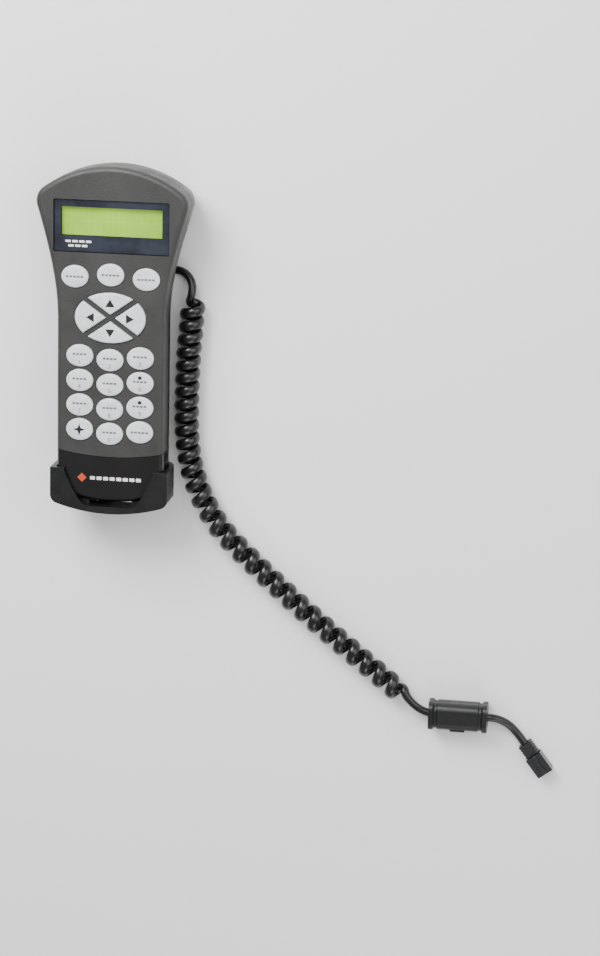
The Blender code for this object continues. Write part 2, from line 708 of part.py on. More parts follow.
# ---- display ----------------------------------------------------------------------------
def make_display():
    window_y = TOP_Y - (WINDOW_TOP + WINDOW_END) / 2
    lens_top = FACE_Z - LENS_RECESS
    lens = rounded_box(WINDOW_WIDTH / 2 - GAP, WINDOW_HEIGHT / 2 - GAP, WINDOW_CORNER / 2)
    place("window_lens", prism_mesh("window_lens", lens, -LENS_THICKNESS, 0),
          material("window_dark", (0.02, 0.022, 0.03), 0.1), (0, window_y, lens_top))
    frame_top = lens_top - LENS_THICKNESS - GAP
    glass_top = frame_top - FRAME_WALL - GAP
    view_y = TOP_Y - WINDOW_TOP - VIEW_DROP - VIEW_HEIGHT / 2
    half_x = VIEW_WIDTH / 2 + GLASS_MARGIN
    half_y = VIEW_HEIGHT / 2 + GLASS_MARGIN
    glass_z = glass_top - GLASS_THICKNESS
    light_z = glass_z - GAP - BACKLIGHT_THICKNESS
    board_top = light_z - GAP
    place("lcd_glass", box_mesh("lcd_glass", (-half_x, -half_y, glass_z), (half_x, half_y, glass_top)),
          material("lcd_green", (0.42, 0.65, 0.10), 0.3), (0, view_y, 0))
    place("lcd_backlight", box_mesh("lcd_backlight", (-half_x, -half_y, light_z),
                                    (half_x, half_y, glass_z - GAP)),
          material("light_guide", (0.85, 0.88, 0.80), 0.4), (0, view_y, 0))
    side = GAP + FRAME_WALL
    frame = place("lcd_frame", box_mesh("lcd_frame", (-half_x - side, -half_y - side, board_top + GAP),
                                        (half_x + side, half_y + side, frame_top)),
                  material("frame_metal", (0.05, 0.05, 0.055), 0.4, 0.8), (0, view_y, 0))
    bm = bmesh.new()
    box_into(bm, (-half_x - GAP, view_y - half_y - GAP, board_top - GAP),
             (half_x + GAP, view_y + half_y + GAP, frame_top - FRAME_WALL))
    cut(frame, cutter("frame_inside", mesh_from(bm, "frame_inside")))
    view = box_mesh("frame_view", (-VIEW_WIDTH / 2, view_y - VIEW_HEIGHT / 2, glass_top - GAP),
                    (VIEW_WIDTH / 2, view_y + VIEW_HEIGHT / 2, frame_top + GAP))
    cut(frame, cutter("frame_view", view))
    margin = side + DISPLAY_BOARD_MARGIN
    place("lcd_board", box_mesh("lcd_board", (-half_x - side, -half_y - margin - HEADER_LENGTH,
                                              board_top - BOARD_THICKNESS),
                                (half_x + side, half_y + side, board_top)),
          board_green(), (0, view_y, 0))
    header_y = -half_y - margin - HEADER_LENGTH + GAP
    place("display_header", box_mesh("display_header", (-HEADER_WIDTH / 2, header_y, board_top + GAP),
                                     (HEADER_WIDTH / 2, header_y + HEADER_LENGTH,
                                      board_top + GAP + HEADER_HEIGHT)),
          black_plastic(), (0, view_y, 0))


# ---- keys and main board ----------------------------------------------------------------
def make_oval_key(name, x, down):
    half, flange = KEY_LENGTH / 2, KEY_LENGTH / 2 + KEY_FLANGE
    top = FACE_Z + KEY_RISE - KEY_BASE_Z
    edge = top - KEY_CROWN
    profile = [(0, top)]
    for step in range(1, 5):
        a = math.pi / 2 * step / 4
        profile.append((half * (0.55 + 0.45 * math.sin(a)), edge + KEY_CROWN * math.cos(a) ** 0.8))
    profile[-1] = (half, edge)
    profile += [(half, KEY_FLANGE_THICKNESS), (flange, KEY_FLANGE_THICKNESS), (flange, 0), (0, 0)]
    turned(name, profile, key_plastic(), (x, TOP_Y - down, KEY_BASE_Z), 24,
           (1, KEY_WIDTH / KEY_LENGTH, 1))


def make_direction_key(name, direction):
    top = FACE_Z + KEY_RISE - KEY_BASE_Z
    levels = [(-KEY_FLANGE, 0), (-KEY_FLANGE, KEY_FLANGE_THICKNESS), (0, KEY_FLANGE_THICKNESS),
              (0, top - KEY_CROWN), (0.0003, top - KEY_CROWN * 0.4), (0.0011, top)]
    bm = bmesh.new()
    stack_into(bm, [[(x, y, z) for x, y in sector_outline(direction, inset)] for inset, z in levels])
    place(name, mesh_from(bm, name), key_plastic(), (0, TOP_Y - PAD_ROW, KEY_BASE_Z))


def make_keys():
    for name, x, down in key_places():
        make_oval_key(name, x, down)
    for name, direction in (("key_right", 0), ("key_up", 90), ("key_left", 180), ("key_down", 270)):
        make_direction_key(name, direction)


def board_outline(side_gap):
    half = HALF_BODY - WALL - side_gap
    top = TOP_Y - BOARD_START
    bottom = TOP_Y - CHIN_SCREW_ROW + POST_RADIUS + GAP
    return rounded_box(half, (top - bottom) / 2, BOARD_CORNER, y=(top + bottom) / 2)


def make_boards():
    mat = place("keypad_mat", prism_mesh("keypad_mat", board_outline(BOARD_SIDE_GAP), MAT_Z, MAT_TOP_Z),
                material("mat_rubber", (0.5, 0.52, 0.52), 0.7))
    board = place("main_board", prism_mesh("main_board", board_outline(BOARD_SIDE_GAP), BOARD_Z,
                                           BOARD_TOP_Z), board_green())
    places = board_screw_places()
    mat_holes = [((x, y, MAT_Z - GAP), (x, y, MAT_TOP_Z + GAP), BOSS_RADIUS + GAP) for x, y in places]
    holes = [((x, y, BOARD_Z - GAP), (x, y, BOARD_TOP_Z + GAP), SCREW_RADIUS + SCREW_CLEARANCE)
             for x, y in places]
    cut(mat, cutter("mat_holes", rods_mesh("mat_holes", mat_holes, 16)))
    cut(board, cutter("board_holes", rods_mesh("board_holes", holes, 12)))
    half = CHIP_SIZE / 2
    top = BOARD_Z - GAP
    chip = place("processor", box_mesh("processor", (-half, -half, top - CHIP_HEIGHT), (half, half, top)),
                 black_plastic(), (0, TOP_Y - PAD_ROW, 0))
    bevel(chip, 0.0003, 1)


# ---- lower end --------------------------------------------------------------------------
def make_lower_end():
    end_y = TOP_Y - HOUSING_LENGTH
    half_x, half_z = SOCKET_WIDTH / 2, SOCKET_HEIGHT / 2
    front = end_y + 0.0006
    socket = place("serial_socket", box_mesh("serial_socket", (-half_x, front, -half_z),
                                             (half_x, front + SOCKET_DEPTH, half_z)),
                   black_plastic(), (SOCKET_X, 0, SOCKET_Z))
    mouth = box_mesh("socket_mouth", (SOCKET_X - SOCKET_MOUTH_WIDTH / 2, front - 0.001,
                                      SOCKET_Z - SOCKET_MOUTH_HEIGHT / 2),
                     (SOCKET_X + SOCKET_MOUTH_WIDTH / 2, front + SOCKET_MOUTH_DEPTH,
                      SOCKET_Z + SOCKET_MOUTH_HEIGHT / 2))
    cut(socket, cutter("socket_mouth", mouth))
    points = [(EXIT_X, end_y + WALL + BOOT_ROOT, EXIT_Z), (EXIT_X, end_y, EXIT_Z)]
    bend_y, bend_z = end_y - BOOT_LEG, EXIT_Z - BOOT_BEND
    for step in range(BOOT_STEPS + 1):
        a = math.pi / 2 * step / BOOT_STEPS
        points.append((EXIT_X, bend_y - BOOT_BEND * math.sin(a), bend_z + BOOT_BEND * math.cos(a)))
    taper = [1 - (1 - BOOT_TIP_RADIUS / BOOT_BASE_RADIUS) * i / (len(points) - 1)
             for i in range(len(points))]
    tube("strain_relief", points, BOOT_BASE_RADIUS * 2, material("cord_rubber", (0.02, 0.02, 0.02), 0.35),
         4, taper)


# ---- holder -----------------------------------------------------------------------------
def holder_plan(half_width, end_radius, corner, top_y):
    half = [(half_width, top_y)] + end_points(half_width, end_radius, corner)
    half[-1] = (0.0, half[-1][1])
    return half + [(-x, y) for x, y in reversed(half[:-1])]


def body_section(grow, top_z):
    """Section across the body, grown outward; the rear corners follow the rear cover."""
    centre_x = HALF_BODY - REAR_CORNER
    straight = (PARTING_Z - BODY_REAR_Z) * REAR_STRAIGHT
    centre_z = PARTING_Z - straight
    half = [(HALF_BODY + grow, top_z)]
    for step in range(9):
        a = math.pi / 2 * step / 8
        half.append((centre_x + (REAR_CORNER + grow) * math.cos(a),
                     centre_z - (centre_z - BODY_REAR_Z + grow) * math.sin(a)))
    return half + [(-x, z) for x, z in reversed(half)]


def along_y(name, section, low_y, high_y):
    bm = bmesh.new()
    stack_into(bm, [[(x, y, z) for x, z in section] for y in (low_y, high_y)])
    return mesh_from(bm, name)


def lip_opening():
    """Front opening between the lips: wide at the top edge and as wide as the slot at the rim."""
    wide = HALF_BODY + HOLDER_GAP + HOLDER_WALL - LIP_WIDTH
    low_y = TOP_Y - HOUSING_LENGTH - HOLDER_RELIEF
    rise = HOLDER_TOP_Y - low_y
    right = []
    for step in range(9):
        t = step / 8
        right.append((SLOT_HALF + (wide - SLOT_HALF) * t ** 0.6, low_y + rise * 0.92 * t))
    right.append((wide, HOLDER_TOP_Y + 0.002))
    return right + [(-x, y) for x, y in reversed(right)]


def make_holder():
    grow = HOLDER_GAP + HOLDER_WALL
    front_z = FACE_Z + HOLDER_GAP + HOLDER_FRONT
    reach = 0.01
    plan = holder_plan(HALF_BODY + grow, END_RADIUS + HOLDER_EXTRA, HOLDER_CORNER, HOLDER_TOP_Y)
    holder = place("holder", prism_mesh("holder", plan, 0, front_z), black_plastic())
    low_y = TOP_Y - HOUSING_LENGTH - reach
    outer = along_y("holder_section", body_section(grow, front_z + reach), low_y, HOLDER_TOP_Y + reach)
    cut(holder, cutter("holder_section", outer), "INTERSECT")
    pads = [((x, PAD_Y, 0), (x, PAD_Y, BODY_REAR_Z - HOLDER_GAP - GAP), PAD_RADIUS)
            for x in both_sides(PAD_X)]
    cut(holder, cutter("holder_pads", rods_mesh("holder_pads", pads, 24)), "UNION")
    pocket_plan = holder_plan(HALF_BODY + HOLDER_GAP, END_RADIUS + HOLDER_GAP, END_CORNER,
                              HOLDER_TOP_Y + reach)
    pocket = cutter("pocket", prism_mesh("pocket", pocket_plan, 0, FACE_Z + HOLDER_GAP))
    inner = along_y("pocket_section", body_section(HOLDER_GAP, FACE_Z + reach), low_y - reach,
                    HOLDER_TOP_Y + 2 * reach)
    cut(pocket, cutter("pocket_section", inner), "INTERSECT")
    cut(holder, pocket)
    cut(holder, cutter("lip_opening", prism_mesh("lip_opening", lip_opening(), FACE_Z - 0.003,
                                                 front_z + reach)))
    end_y = TOP_Y - HOUSING_LENGTH
    relief = box_mesh("relief", (-SLOT_HALF, end_y - HOLDER_RELIEF, SLOT_TOP_Z - GAP),
                      (SLOT_HALF, end_y + reach, front_z + reach))
    cut(holder, cutter("relief", relief))
    slot = box_mesh("cord_slot", (-SLOT_HALF, end_y - HOLDER_EXTRA - reach, -GAP),
                    (SLOT_HALF, HOLDER_TOP_Y + reach, SLOT_TOP_Z))
    cut(holder, cutter("cord_slot", slot))
    seat = PAD_Z_SEAT
    wells = [((x, PAD_Y, seat), (x, PAD_Y, seat + 0.006), HOLDER_HEAD_RADIUS + GAP)
             for x in both_sides(PAD_X)]
    holes = [((x, PAD_Y, -GAP), (x, PAD_Y, seat + GAP), HOLDER_SCREW_RADIUS + SCREW_CLEARANCE)
             for x in both_sides(PAD_X)]
    cut(holder, cutter("holder_wells", rods_mesh("holder_wells", wells, 16)))
    cut(holder, cutter("holder_holes", rods_mesh("holder_holes", holes, 12)))
    for i, x in enumerate(both_sides(PAD_X), 1):
        made = screw(f"holder_screw_{i}", x, PAD_Y, seat + GAP, 2 * seat + GAP - 0.0005,
                     HOLDER_SCREW_RADIUS, HOLDER_HEAD_RADIUS, HOLDER_HEAD_HEIGHT)
        made.rotation_euler = (math.pi, 0, 0)


# ---- cord -------------------------------------------------------------------------------
def cord_rubber():
    return material("cord_rubber", (0.02, 0.02, 0.02), 0.35)


def make_cord():
    tube("cord_lead", smooth_path(LEAD_ROUTE, CORD_DIAMETER), CORD_DIAMETER, cord_rubber(), 2)
    curl = [(x, y, CURL_DIAMETER / 2) for x, y in CURL_ROUTE]
    tube("cord_curl", smooth_path(curl, 0.009), CURL_DIAMETER, cord_rubber(), 3)
    tube("cord_tail", smooth_path(TAIL_ROUTE, CORD_DIAMETER), CORD_DIAMETER, cord_rubber(), 2)


def make_choke():
    centre = CHOKE_CENTRE
    half = Vector((CHOKE_LENGTH / 2, CHOKE_WIDTH / 2, centre.z - GAP / 2))
    core_space = ((centre.x - CORE_LENGTH / 2 - GAP, centre.y, centre.z),
                  (centre.x + CORE_LENGTH / 2 + GAP, centre.y, centre.z), CORE_RADIUS + GAP)
    bore = ((centre.x - half.x - GAP, centre.y, centre.z), (centre.x + half.x + GAP, centre.y, centre.z),
            CHOKE_BORE)
    for name, low, high in (("choke_case_lower", -half.z - GAP / 2, -GAP / 2),
                            ("choke_case_upper", GAP / 2, half.z + GAP / 2)):
        case = place(name, box_mesh(name, (-half.x, -half.y, low), (half.x, half.y, high)),
                     black_plastic(), centre)
        cut(case, cutter(name + "_space", rods_mesh(name + "_space", [core_space], 20)))
        cut(case, cutter(name + "_bore", rods_mesh(name + "_bore", [bore], 16)))
    core = rods_mesh("choke_core", [((-CORE_LENGTH / 2, 0, 0), (CORE_LENGTH / 2, 0, 0), CORE_RADIUS)], 20)
    made = place("choke_core", core, material("ferrite", (0.05, 0.05, 0.055), 0.6), centre)
    cut(made, cutter("core_bore", rods_mesh("core_bore", [bore], 16)))


def make_plug():
    """Modular plug, its boot and its latch, lying flat in line with the tail's end."""
    end, before = Vector(TAIL_ROUTE[-1]), Vector(TAIL_ROUTE[-2])
    along = end - before
    turn = math.atan2(along.y, along.x)
    half_w, boot_half = PLUG_WIDTH / 2, PLUG_WIDTH / 2 - 0.0009
    boot_height = PLUG_HEIGHT - 0.0006
    location = (end.x, end.y, 0)
    start = GAP
    boot = place("plug_boot", box_mesh("plug_boot", (start, -boot_half, 0),
                                       (start + PLUG_BOOT_LENGTH, boot_half, boot_height)),
                 cord_rubber(), location, turn)
    bevel(boot, 0.0008, 2)
    body_x = start + PLUG_BOOT_LENGTH + GAP
    body = place("plug_body", box_mesh("plug_body", (body_x, -half_w, 0),
                                       (body_x + PLUG_LENGTH, half_w, PLUG_HEIGHT)),
                 material("plug_plastic", (0.03, 0.03, 0.032), 0.2), location, turn)
    bevel(body, 0.0004, 1)
    low = PLUG_HEIGHT + GAP
    latch = place("plug_latch", box_mesh("plug_latch", (body_x, -0.0016, low),
                                         (body_x + PLUG_LENGTH * 0.9, 0.0016, low + LATCH_THICKNESS)),
                  material("plug_plastic", (0.03, 0.03, 0.032), 0.2), location, turn)
    bevel(latch, 0.0002, 1)


def shade_round_pieces():
    for piece in PARTS.objects:
        if piece.type == "MESH":
            piece.data.shade_smooth()
            piece.data.set_sharp_from_angle(angle=math.radians(35))


make_covers()
make_screws()
make_display()
make_keys()
make_boards()
make_lower_end()
make_holder()
make_cord()
make_choke()
make_plug()
shade_round_pieces()
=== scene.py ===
"""Finished look of a telescope's hand controller, lying in its holder with its curly cord.

Everything is in metres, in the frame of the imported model: +Z out of the key face, +Y towards the
display. The script is laid out as an add-on and run as a script.
"""
import math

import bmesh
import bpy
from bpy.props import FloatProperty, FloatVectorProperty, IntProperty, PointerProperty
from mathutils import Matrix, Vector


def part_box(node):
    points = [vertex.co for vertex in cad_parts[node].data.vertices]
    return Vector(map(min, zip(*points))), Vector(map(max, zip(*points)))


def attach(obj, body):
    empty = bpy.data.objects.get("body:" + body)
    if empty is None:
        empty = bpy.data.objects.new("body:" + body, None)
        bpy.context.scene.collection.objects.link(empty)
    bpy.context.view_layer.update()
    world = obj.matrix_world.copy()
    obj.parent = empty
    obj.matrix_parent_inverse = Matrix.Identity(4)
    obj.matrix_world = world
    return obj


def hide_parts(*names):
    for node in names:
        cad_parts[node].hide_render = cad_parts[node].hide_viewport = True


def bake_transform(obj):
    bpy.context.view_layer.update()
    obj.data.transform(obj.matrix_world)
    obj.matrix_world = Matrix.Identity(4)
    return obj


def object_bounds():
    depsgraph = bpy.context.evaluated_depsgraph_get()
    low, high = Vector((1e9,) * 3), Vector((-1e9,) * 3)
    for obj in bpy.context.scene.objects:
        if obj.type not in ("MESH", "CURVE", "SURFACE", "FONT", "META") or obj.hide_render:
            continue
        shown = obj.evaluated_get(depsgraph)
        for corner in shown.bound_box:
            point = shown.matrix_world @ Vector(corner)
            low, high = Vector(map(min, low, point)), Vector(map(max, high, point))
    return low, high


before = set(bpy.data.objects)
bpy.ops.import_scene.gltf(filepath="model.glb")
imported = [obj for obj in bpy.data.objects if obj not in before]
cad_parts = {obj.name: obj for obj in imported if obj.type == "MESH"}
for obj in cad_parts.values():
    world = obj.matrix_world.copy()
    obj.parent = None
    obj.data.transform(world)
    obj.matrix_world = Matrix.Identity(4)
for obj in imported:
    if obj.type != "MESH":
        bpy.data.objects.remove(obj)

CAD_BOX = [list(map(float, corner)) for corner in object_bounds()]     # before any piece is made

bl_info = {
    "name": "Telescope Hand Controller",
    "version": (1, 0, 0),
    "blender": (4, 5, 0),
    "location": "View3D > Sidebar > Controller",
    "description": "Builds the finished surface of a telescope hand controller and its cord",
    "category": "Object",
}

CONTROLLER = "controller"
HOLDER = "holder_body"

# ---- sizes read from the frame ----------------------------------------------------------
def span(node):
    """Lowest and highest corner of a CAD node, as vectors."""
    low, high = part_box(node)
    return Vector(low), Vector(high)


REAR_LOW, REAR_HIGH = span("rear_cover")
FRONT_LOW, FRONT_HIGH = span("front_cover")
HOLDER_LOW, HOLDER_HIGH = span("holder")
PAD_LOW = Vector((span("key_left")[0].x, span("key_down")[0].y))
PAD_HIGH = Vector((span("key_right")[1].x, span("key_up")[1].y))
TOP_Y = REAR_HIGH.y
END_Y = REAR_LOW.y
FACE_Z = FRONT_HIGH.z
HALF_HEAD = REAR_HIGH.x


SPARE = 0.0003              # clearance round a part that sits in a hole
WELD = 0.000002             # points closer than this become one
SCREW_HEAD = 0.0018         # height of a housing or holder screw's head
HEAD_WELL = 0.0021          # depth of the well that takes it
PRINT_SINK = 0.00001        # how deep a print's underside sits in its surface
PRINT_HEIGHT = 0.00005


def metres(label, default, text):
    """Setting for a length."""
    return FloatProperty(name=label, description=text, default=default, unit="LENGTH")


def factor(label, default, text):
    """Setting for a share of something else."""
    return FloatProperty(name=label, description=text, default=default, subtype="FACTOR")


def degrees(label, default, text):
    """Setting for an angle."""
    return FloatProperty(name=label, description=text, default=math.radians(default),
                         subtype="ANGLE")


def tint(label, default, text):
    """Setting for a colour."""
    return FloatVectorProperty(name=label, description=text, default=default, subtype="COLOR",
                               size=3)


def whole(label, default, text):
    """Setting for a count."""
    return IntProperty(name=label, description=text, default=default)


class ControllerSizes(bpy.types.PropertyGroup):
    """Sizes of the housing that the frame doesn't give directly."""

    wall: metres("Wall", 0.0022, "Thickness of the covers")
    half_body: metres("Half body", 0.030, "Half the width of the lower body")
    top_radius: metres("Top radius", 0.0642, "Radius of the head's top arc")
    head_corner: metres("Head corner", 0.009, "Radius at the widest part")
    end_radius: metres("End radius", 0.090, "Radius of the bowed lower end")
    end_corner: metres("End corner", 0.004, "Corner radius of the lower end")
    shoulder_slope: factor("Shoulder slope", 0.29, "How fast the head narrows")
    waist: metres("Waist", 0.084, "From the top to where the sides run straight")
    edge_radius: metres("Edge radius", 0.003, "Rounding of the front face")
    rear_corner: metres("Rear corner", 0.010, "Rounding of the rear cover")
    rear_straight: factor("Rear straight", 0.25, "Upright share of its depth")
    body_rear: metres("Body rear", 0.010, "Height of the body's back")
    bulge_start: metres("Bulge start", 0.036, "The back starts to rise here")
    bulge_end: metres("Bulge end", 0.058, "The back has risen here")
    chin_bow: metres("Chin bow", 0.140, "Radius of the line above the chin")
    key_flange: metres("Key flange", 0.0006, "Flange hidden under the cover")
    key_crown: metres("Key crown", 0.0009, "Height of a key's dome")
    pad_bar: metres("Pad bar", 0.0030, "Width of the bars of the pad")
    window_drop: metres("Window drop", 0.0183, "Top of the head to the window")
    window_width: metres("Window width", 0.064, "Width of the opening")
    window_height: metres("Window height", 0.0289, "Height of the opening")
    view_width: metres("View width", 0.056, "Width of the green area")
    view_height: metres("View height", 0.0156, "Height of the green area")
    view_drop: metres("View drop", 0.0042, "Window edge to the green area")


class ControllerColours(bpy.types.PropertyGroup):
    """Colours of the finishes."""

    housing: tint("Housing", (0.027, 0.0265, 0.0258), "Grained front cover")
    black: tint("Black", (0.0038, 0.0038, 0.0042), "Satin black plastic")
    chin: tint("Chin", (0.0070, 0.0062, 0.0066), "Gloss black chin")
    key: tint("Key", (0.66, 0.69, 0.70), "Near-white keys")
    print_grey: tint("Legend", (0.12, 0.13, 0.14), "Grey print on the keys")
    display: tint("Display", (0.36, 0.64, 0.045), "Yellow-green display")
    cord: tint("Cord", (0.0060, 0.0060, 0.0066), "Cord sheath")
    accent: tint("Accent", (0.55, 0.06, 0.015), "Small mark on the chin")


class CordSizes(bpy.types.PropertyGroup):
    """Sizes of the curly cord."""

    diameter: metres("Cord", 0.0046, "Diameter of the sheath")
    curl_diameter: metres("Curl", 0.0143, "Outer diameter of the curls")
    pitch_near: metres("Pitch near", 0.0074, "Pitch beside the housing")
    pitch_far: metres("Pitch far", 0.0096, "Pitch of the stretched part")
    strand_wide: factor("Strand width", 1.26, "Share of the cord's diameter")
    strand_thick: factor("Strand thickness", 0.80, "Share of the cord's diameter")
    turn_points: whole("Turn points", 24, "Points in one turn")
    sides: whole("Sides", 16, "Sides of the tube")


class StageSizes(bpy.types.PropertyGroup):
    """Where the camera stands and what it takes in."""

    azimuth: degrees("Azimuth", 8.0, "Camera's turn to the right of the face")
    elevation: degrees("Elevation", 14.0, "Camera's tilt to the display end")
    roll: degrees("Roll", 1.4, "Turn of the picture")
    distance: metres("Distance", 1.5, "From the object's middle")
    field: metres("Field", 0.332, "Width of the view at the object")


# ---- shader nodes -----------------------------------------------------------------------
class Wire:
    """A socket that takes part in Python arithmetic."""

    def __init__(self, nodes, socket):
        self.nodes, self.socket = nodes, socket

    def _math(self, operation, *values):
        return self.nodes.add("ShaderNodeMath", dict(enumerate(values)), operation=operation)

    def __add__(self, other):
        return self._math("ADD", self, other)

    def __sub__(self, other):
        return self._math("SUBTRACT", self, other)

    def __rsub__(self, other):
        return self._math("SUBTRACT", other, self)

    def __mul__(self, other):
        return self._math("MULTIPLY", self, other)

    def __gt__(self, other):
        return self._math("GREATER_THAN", self, other)

    def __lt__(self, other):
        return self._math("LESS_THAN", self, other)

    def __abs__(self):
        return self._math("ABSOLUTE", self)

    def fraction(self):
        return self._math("FRACT", self)


class Finish:
    """A material with one Principled shader and a short way to add nodes."""

    def __init__(self, name, colour, roughness, metallic=0.0, **more):
        self.material = bpy.data.materials.new(name)
        self.material.use_nodes = True
        self.tree = self.material.node_tree
        self.shader = self.tree.nodes["Principled BSDF"]
        values = {"Base_Color": (*colour, 1), "Roughness": roughness, "Metallic": metallic}
        for socket, value in {**values, **more}.items():
            self.shader.inputs[socket.replace("_", " ")].default_value = value

    def add(self, kind, inputs, output=0, **settings):
        """Add a node; an input given as a Wire becomes a link."""
        node = self.tree.nodes.new(kind)
        for key, value in settings.items():
            setattr(node, key, value)
        for key, value in inputs.items():
            if isinstance(value, Wire):
                self.tree.links.new(value.socket, node.inputs[key])
            else:
                node.inputs[key].default_value = value
        return Wire(self, node.outputs[output])

    def place(self):
        return self.add("ShaderNodeTexCoord", {}, "Object")

    def noise(self, scale, detail=3.0, roughness=0.55):
        return self.add("ShaderNodeTexNoise", {"Vector": self.place(), "Scale": scale,
                                               "Detail": detail, "Roughness": roughness})

    def ramp(self, value, low, high, out_low=0.0, out_high=1.0):
        return self.add("ShaderNodeMapRange",
                        {"Value": value, "From Min": low, "From Max": high,
                         "To Min": out_low, "To Max": out_high}, clamp=True)

    def mix(self, share, first, second):
        return self.add("ShaderNodeMix", {0: share, 6: first, 7: second}, 2, data_type="RGBA")

    def feed(self, socket, wire):
        self.tree.links.new(wire.socket, self.shader.inputs[socket])

    def bump(self, height, distance):
        self.feed("Normal", self.add("ShaderNodeBump", {"Height": height, "Distance": distance,
                                                        "Strength": 1.0}))


def shade(colour, times):
    """The colour made darker or lighter, with its alpha."""
    return (*(min(1.0, c * times) for c in colour), 1)


def moulded(name, colour, grain_scale, grain_depth, low_rough, high_rough):
    """Moulded plastic: fine grain, soft colour drift and handling marks in the gloss."""
    finish = Finish(name, colour, (low_rough + high_rough) / 2)
    grain = finish.noise(grain_scale, 4.0, 0.6)
    drift = finish.noise(38.0)
    smudge = finish.noise(95.0, 5.0, 0.65)
    tone = finish.ramp(drift * 0.7 + grain * 0.3, 0.38, 0.62)
    finish.feed("Base Color", finish.mix(tone, shade(colour, 0.84), shade(colour, 1.18)))
    finish.feed("Roughness", finish.ramp(smudge * 0.75 + grain * 0.25, 0.36, 0.64,
                                         low_rough, high_rough))
    finish.bump(grain, grain_depth)
    return finish


def key_finish():
    """Pale moulded key with a soft satin skin, slightly greyer where fingers wear it."""
    colour = bpy.context.scene.controller_colours.key
    finish = Finish("key_skin", colour, 0.42, Subsurface_Weight=0.04)
    fine = finish.noise(1300)
    wear = finish.noise(210, 4.0, 0.6)
    finish.feed("Base Color", finish.mix(finish.ramp(wear, 0.35, 0.65),
                                         shade(colour, 0.90), shade(colour, 1.08)))
    finish.feed("Roughness", finish.ramp(wear * 0.6 + fine * 0.4, 0.38, 0.62, 0.34, 0.52))
    finish.bump(fine, 0.00003)
    return finish


def green_area(finish):
    """Distances across and up from the middle of the display's green area."""
    s = sizes_of()
    split = finish.add("ShaderNodeSeparateXYZ", {0: finish.place()}).socket.node
    x, y = (Wire(finish, split.outputs[i]) for i in range(2))
    return x, y - (TOP_Y - s.window_drop - s.view_drop - s.view_height / 2)


def lens_finish():
    """Dark printed window that is clear over the green area."""
    finish = Finish("window_lens", (0.016, 0.019, 0.027), 0.08)
    x, y = green_area(finish)
    clear = (abs(x) < sizes_of().view_width / 2) * (abs(y) < sizes_of().view_height / 2)
    finish.feed("Base Color", finish.mix(finish.ramp(finish.noise(60, 4.0), 0.4, 0.6),
                                         (0.012, 0.014, 0.020, 1), (0.024, 0.028, 0.040, 1)))
    finish.feed("Roughness", finish.ramp(finish.noise(140, 5.0), 0.35, 0.65, 0.05, 0.16))
    finish.feed("Alpha", 1 - clear * 0.90)
    return finish


def display_finish():
    """Yellow-green display with two rows of sixteen faint character cells; its emission is a
    painted glow.
    """
    colour = bpy.context.scene.controller_colours.display
    # Painted glow: the emission makes the display shine with its own yellow-green colour.
    finish = Finish("display_green", colour, 0.3, Emission_Strength=0.42)
    x, y = green_area(finish)
    cell_x, cell_y = 0.00325, 0.0062
    along = (x * (1 / cell_x) + 100.0).fraction()
    upward = (y * (1 / cell_y) + 100.0).fraction()
    cell = (along > 0.12) * (along < 0.88) * (upward > 0.10) * (upward < 0.90)
    cell = cell * (abs(x) < cell_x * 8) * (abs(y) < cell_y)
    glow = finish.ramp(finish.noise(45, 2.0), 0.35, 0.65)
    base = finish.mix(glow, shade(colour, 0.90), shade(colour, 1.12))
    toned = finish.mix(cell * 0.30, base, shade(colour, 0.80))
    finish.feed("Base Color", toned)
    # The same colour drives the painted glow.
    finish.feed("Emission Color", toned)
    return finish


def steel_finish():
    """Bright screw steel with fine streaks."""
    finish = Finish("screw_steel", (0.55, 0.55, 0.56), 0.3, 1.0)
    streak = finish.noise(2200)
    finish.feed("Roughness", finish.ramp(streak, 0.35, 0.65, 0.22, 0.42))
    finish.bump(streak, 0.00002)
    return finish


def gold_finish():
    """Gold-plated contacts."""
    finish = Finish("contact_gold", (0.83, 0.62, 0.25), 0.25, 1.0)
    finish.feed("Roughness", finish.ramp(finish.noise(3000, 2.0), 0.35, 0.65, 0.18, 0.34))
    return finish


def board_finish():
    """Green solder mask with paler tracks."""
    finish = Finish("circuit_board", (0.02, 0.15, 0.05), 0.35)
    finish.feed("Base Color", finish.add("ShaderNodeTexBrick", {
        "Vector": finish.place(), "Scale": 260.0, "Color1": (0.02, 0.15, 0.05, 1),
        "Color2": (0.03, 0.19, 0.07, 1), "Mortar": (0.05, 0.27, 0.10, 1)}))
    return finish


# material, colour or its setting, grain's scale and depth, least and most roughness
MOULDED = {
    "housing": ("housing_grain", "housing", 1500, 0.00016, 0.42, 0.60),
    "black": ("black_satin", "black", 1700, 0.00008, 0.30, 0.48),
    "chin": ("chin_gloss", "chin", 900, 0.00001, 0.14, 0.28),
    "cord": ("cord_sheath", "cord", 1100, 0.00003, 0.20, 0.36),
    "boot": ("boot_rubber", "cord", 1500, 0.00005, 0.38, 0.55),
    "print": ("legend_print", "print_grey", 2500, 0.00002, 0.5, 0.65),
    "dark_print": ("dark_print", "black", 2500, 0.00002, 0.45, 0.6),
    "white_print": ("white_print", (0.72, 0.72, 0.72), 2500, 0.00002, 0.4, 0.55),
    "accent": ("accent_print", "accent", 2500, 0.00002, 0.35, 0.5),
    "frame": ("frame_black", (0.02, 0.02, 0.022), 900, 0.00002, 0.35, 0.5),
    "light": ("light_guide", (0.8, 0.84, 0.74), 600, 0.00001, 0.3, 0.45),
    "mat": ("mat_rubber", (0.45, 0.47, 0.47), 1200, 0.00004, 0.6, 0.75),
    "ferrite": ("ferrite", (0.045, 0.045, 0.05), 1500, 0.0001, 0.5, 0.7),
    "plug": ("plug_smoke", (0.020, 0.020, 0.022), 500, 0.00001, 0.12, 0.24),
}
SPECIAL = {"key": key_finish, "lens": lens_finish, "display": display_finish,
           "steel": steel_finish, "board": board_finish, "gold": gold_finish}
MADE = {}


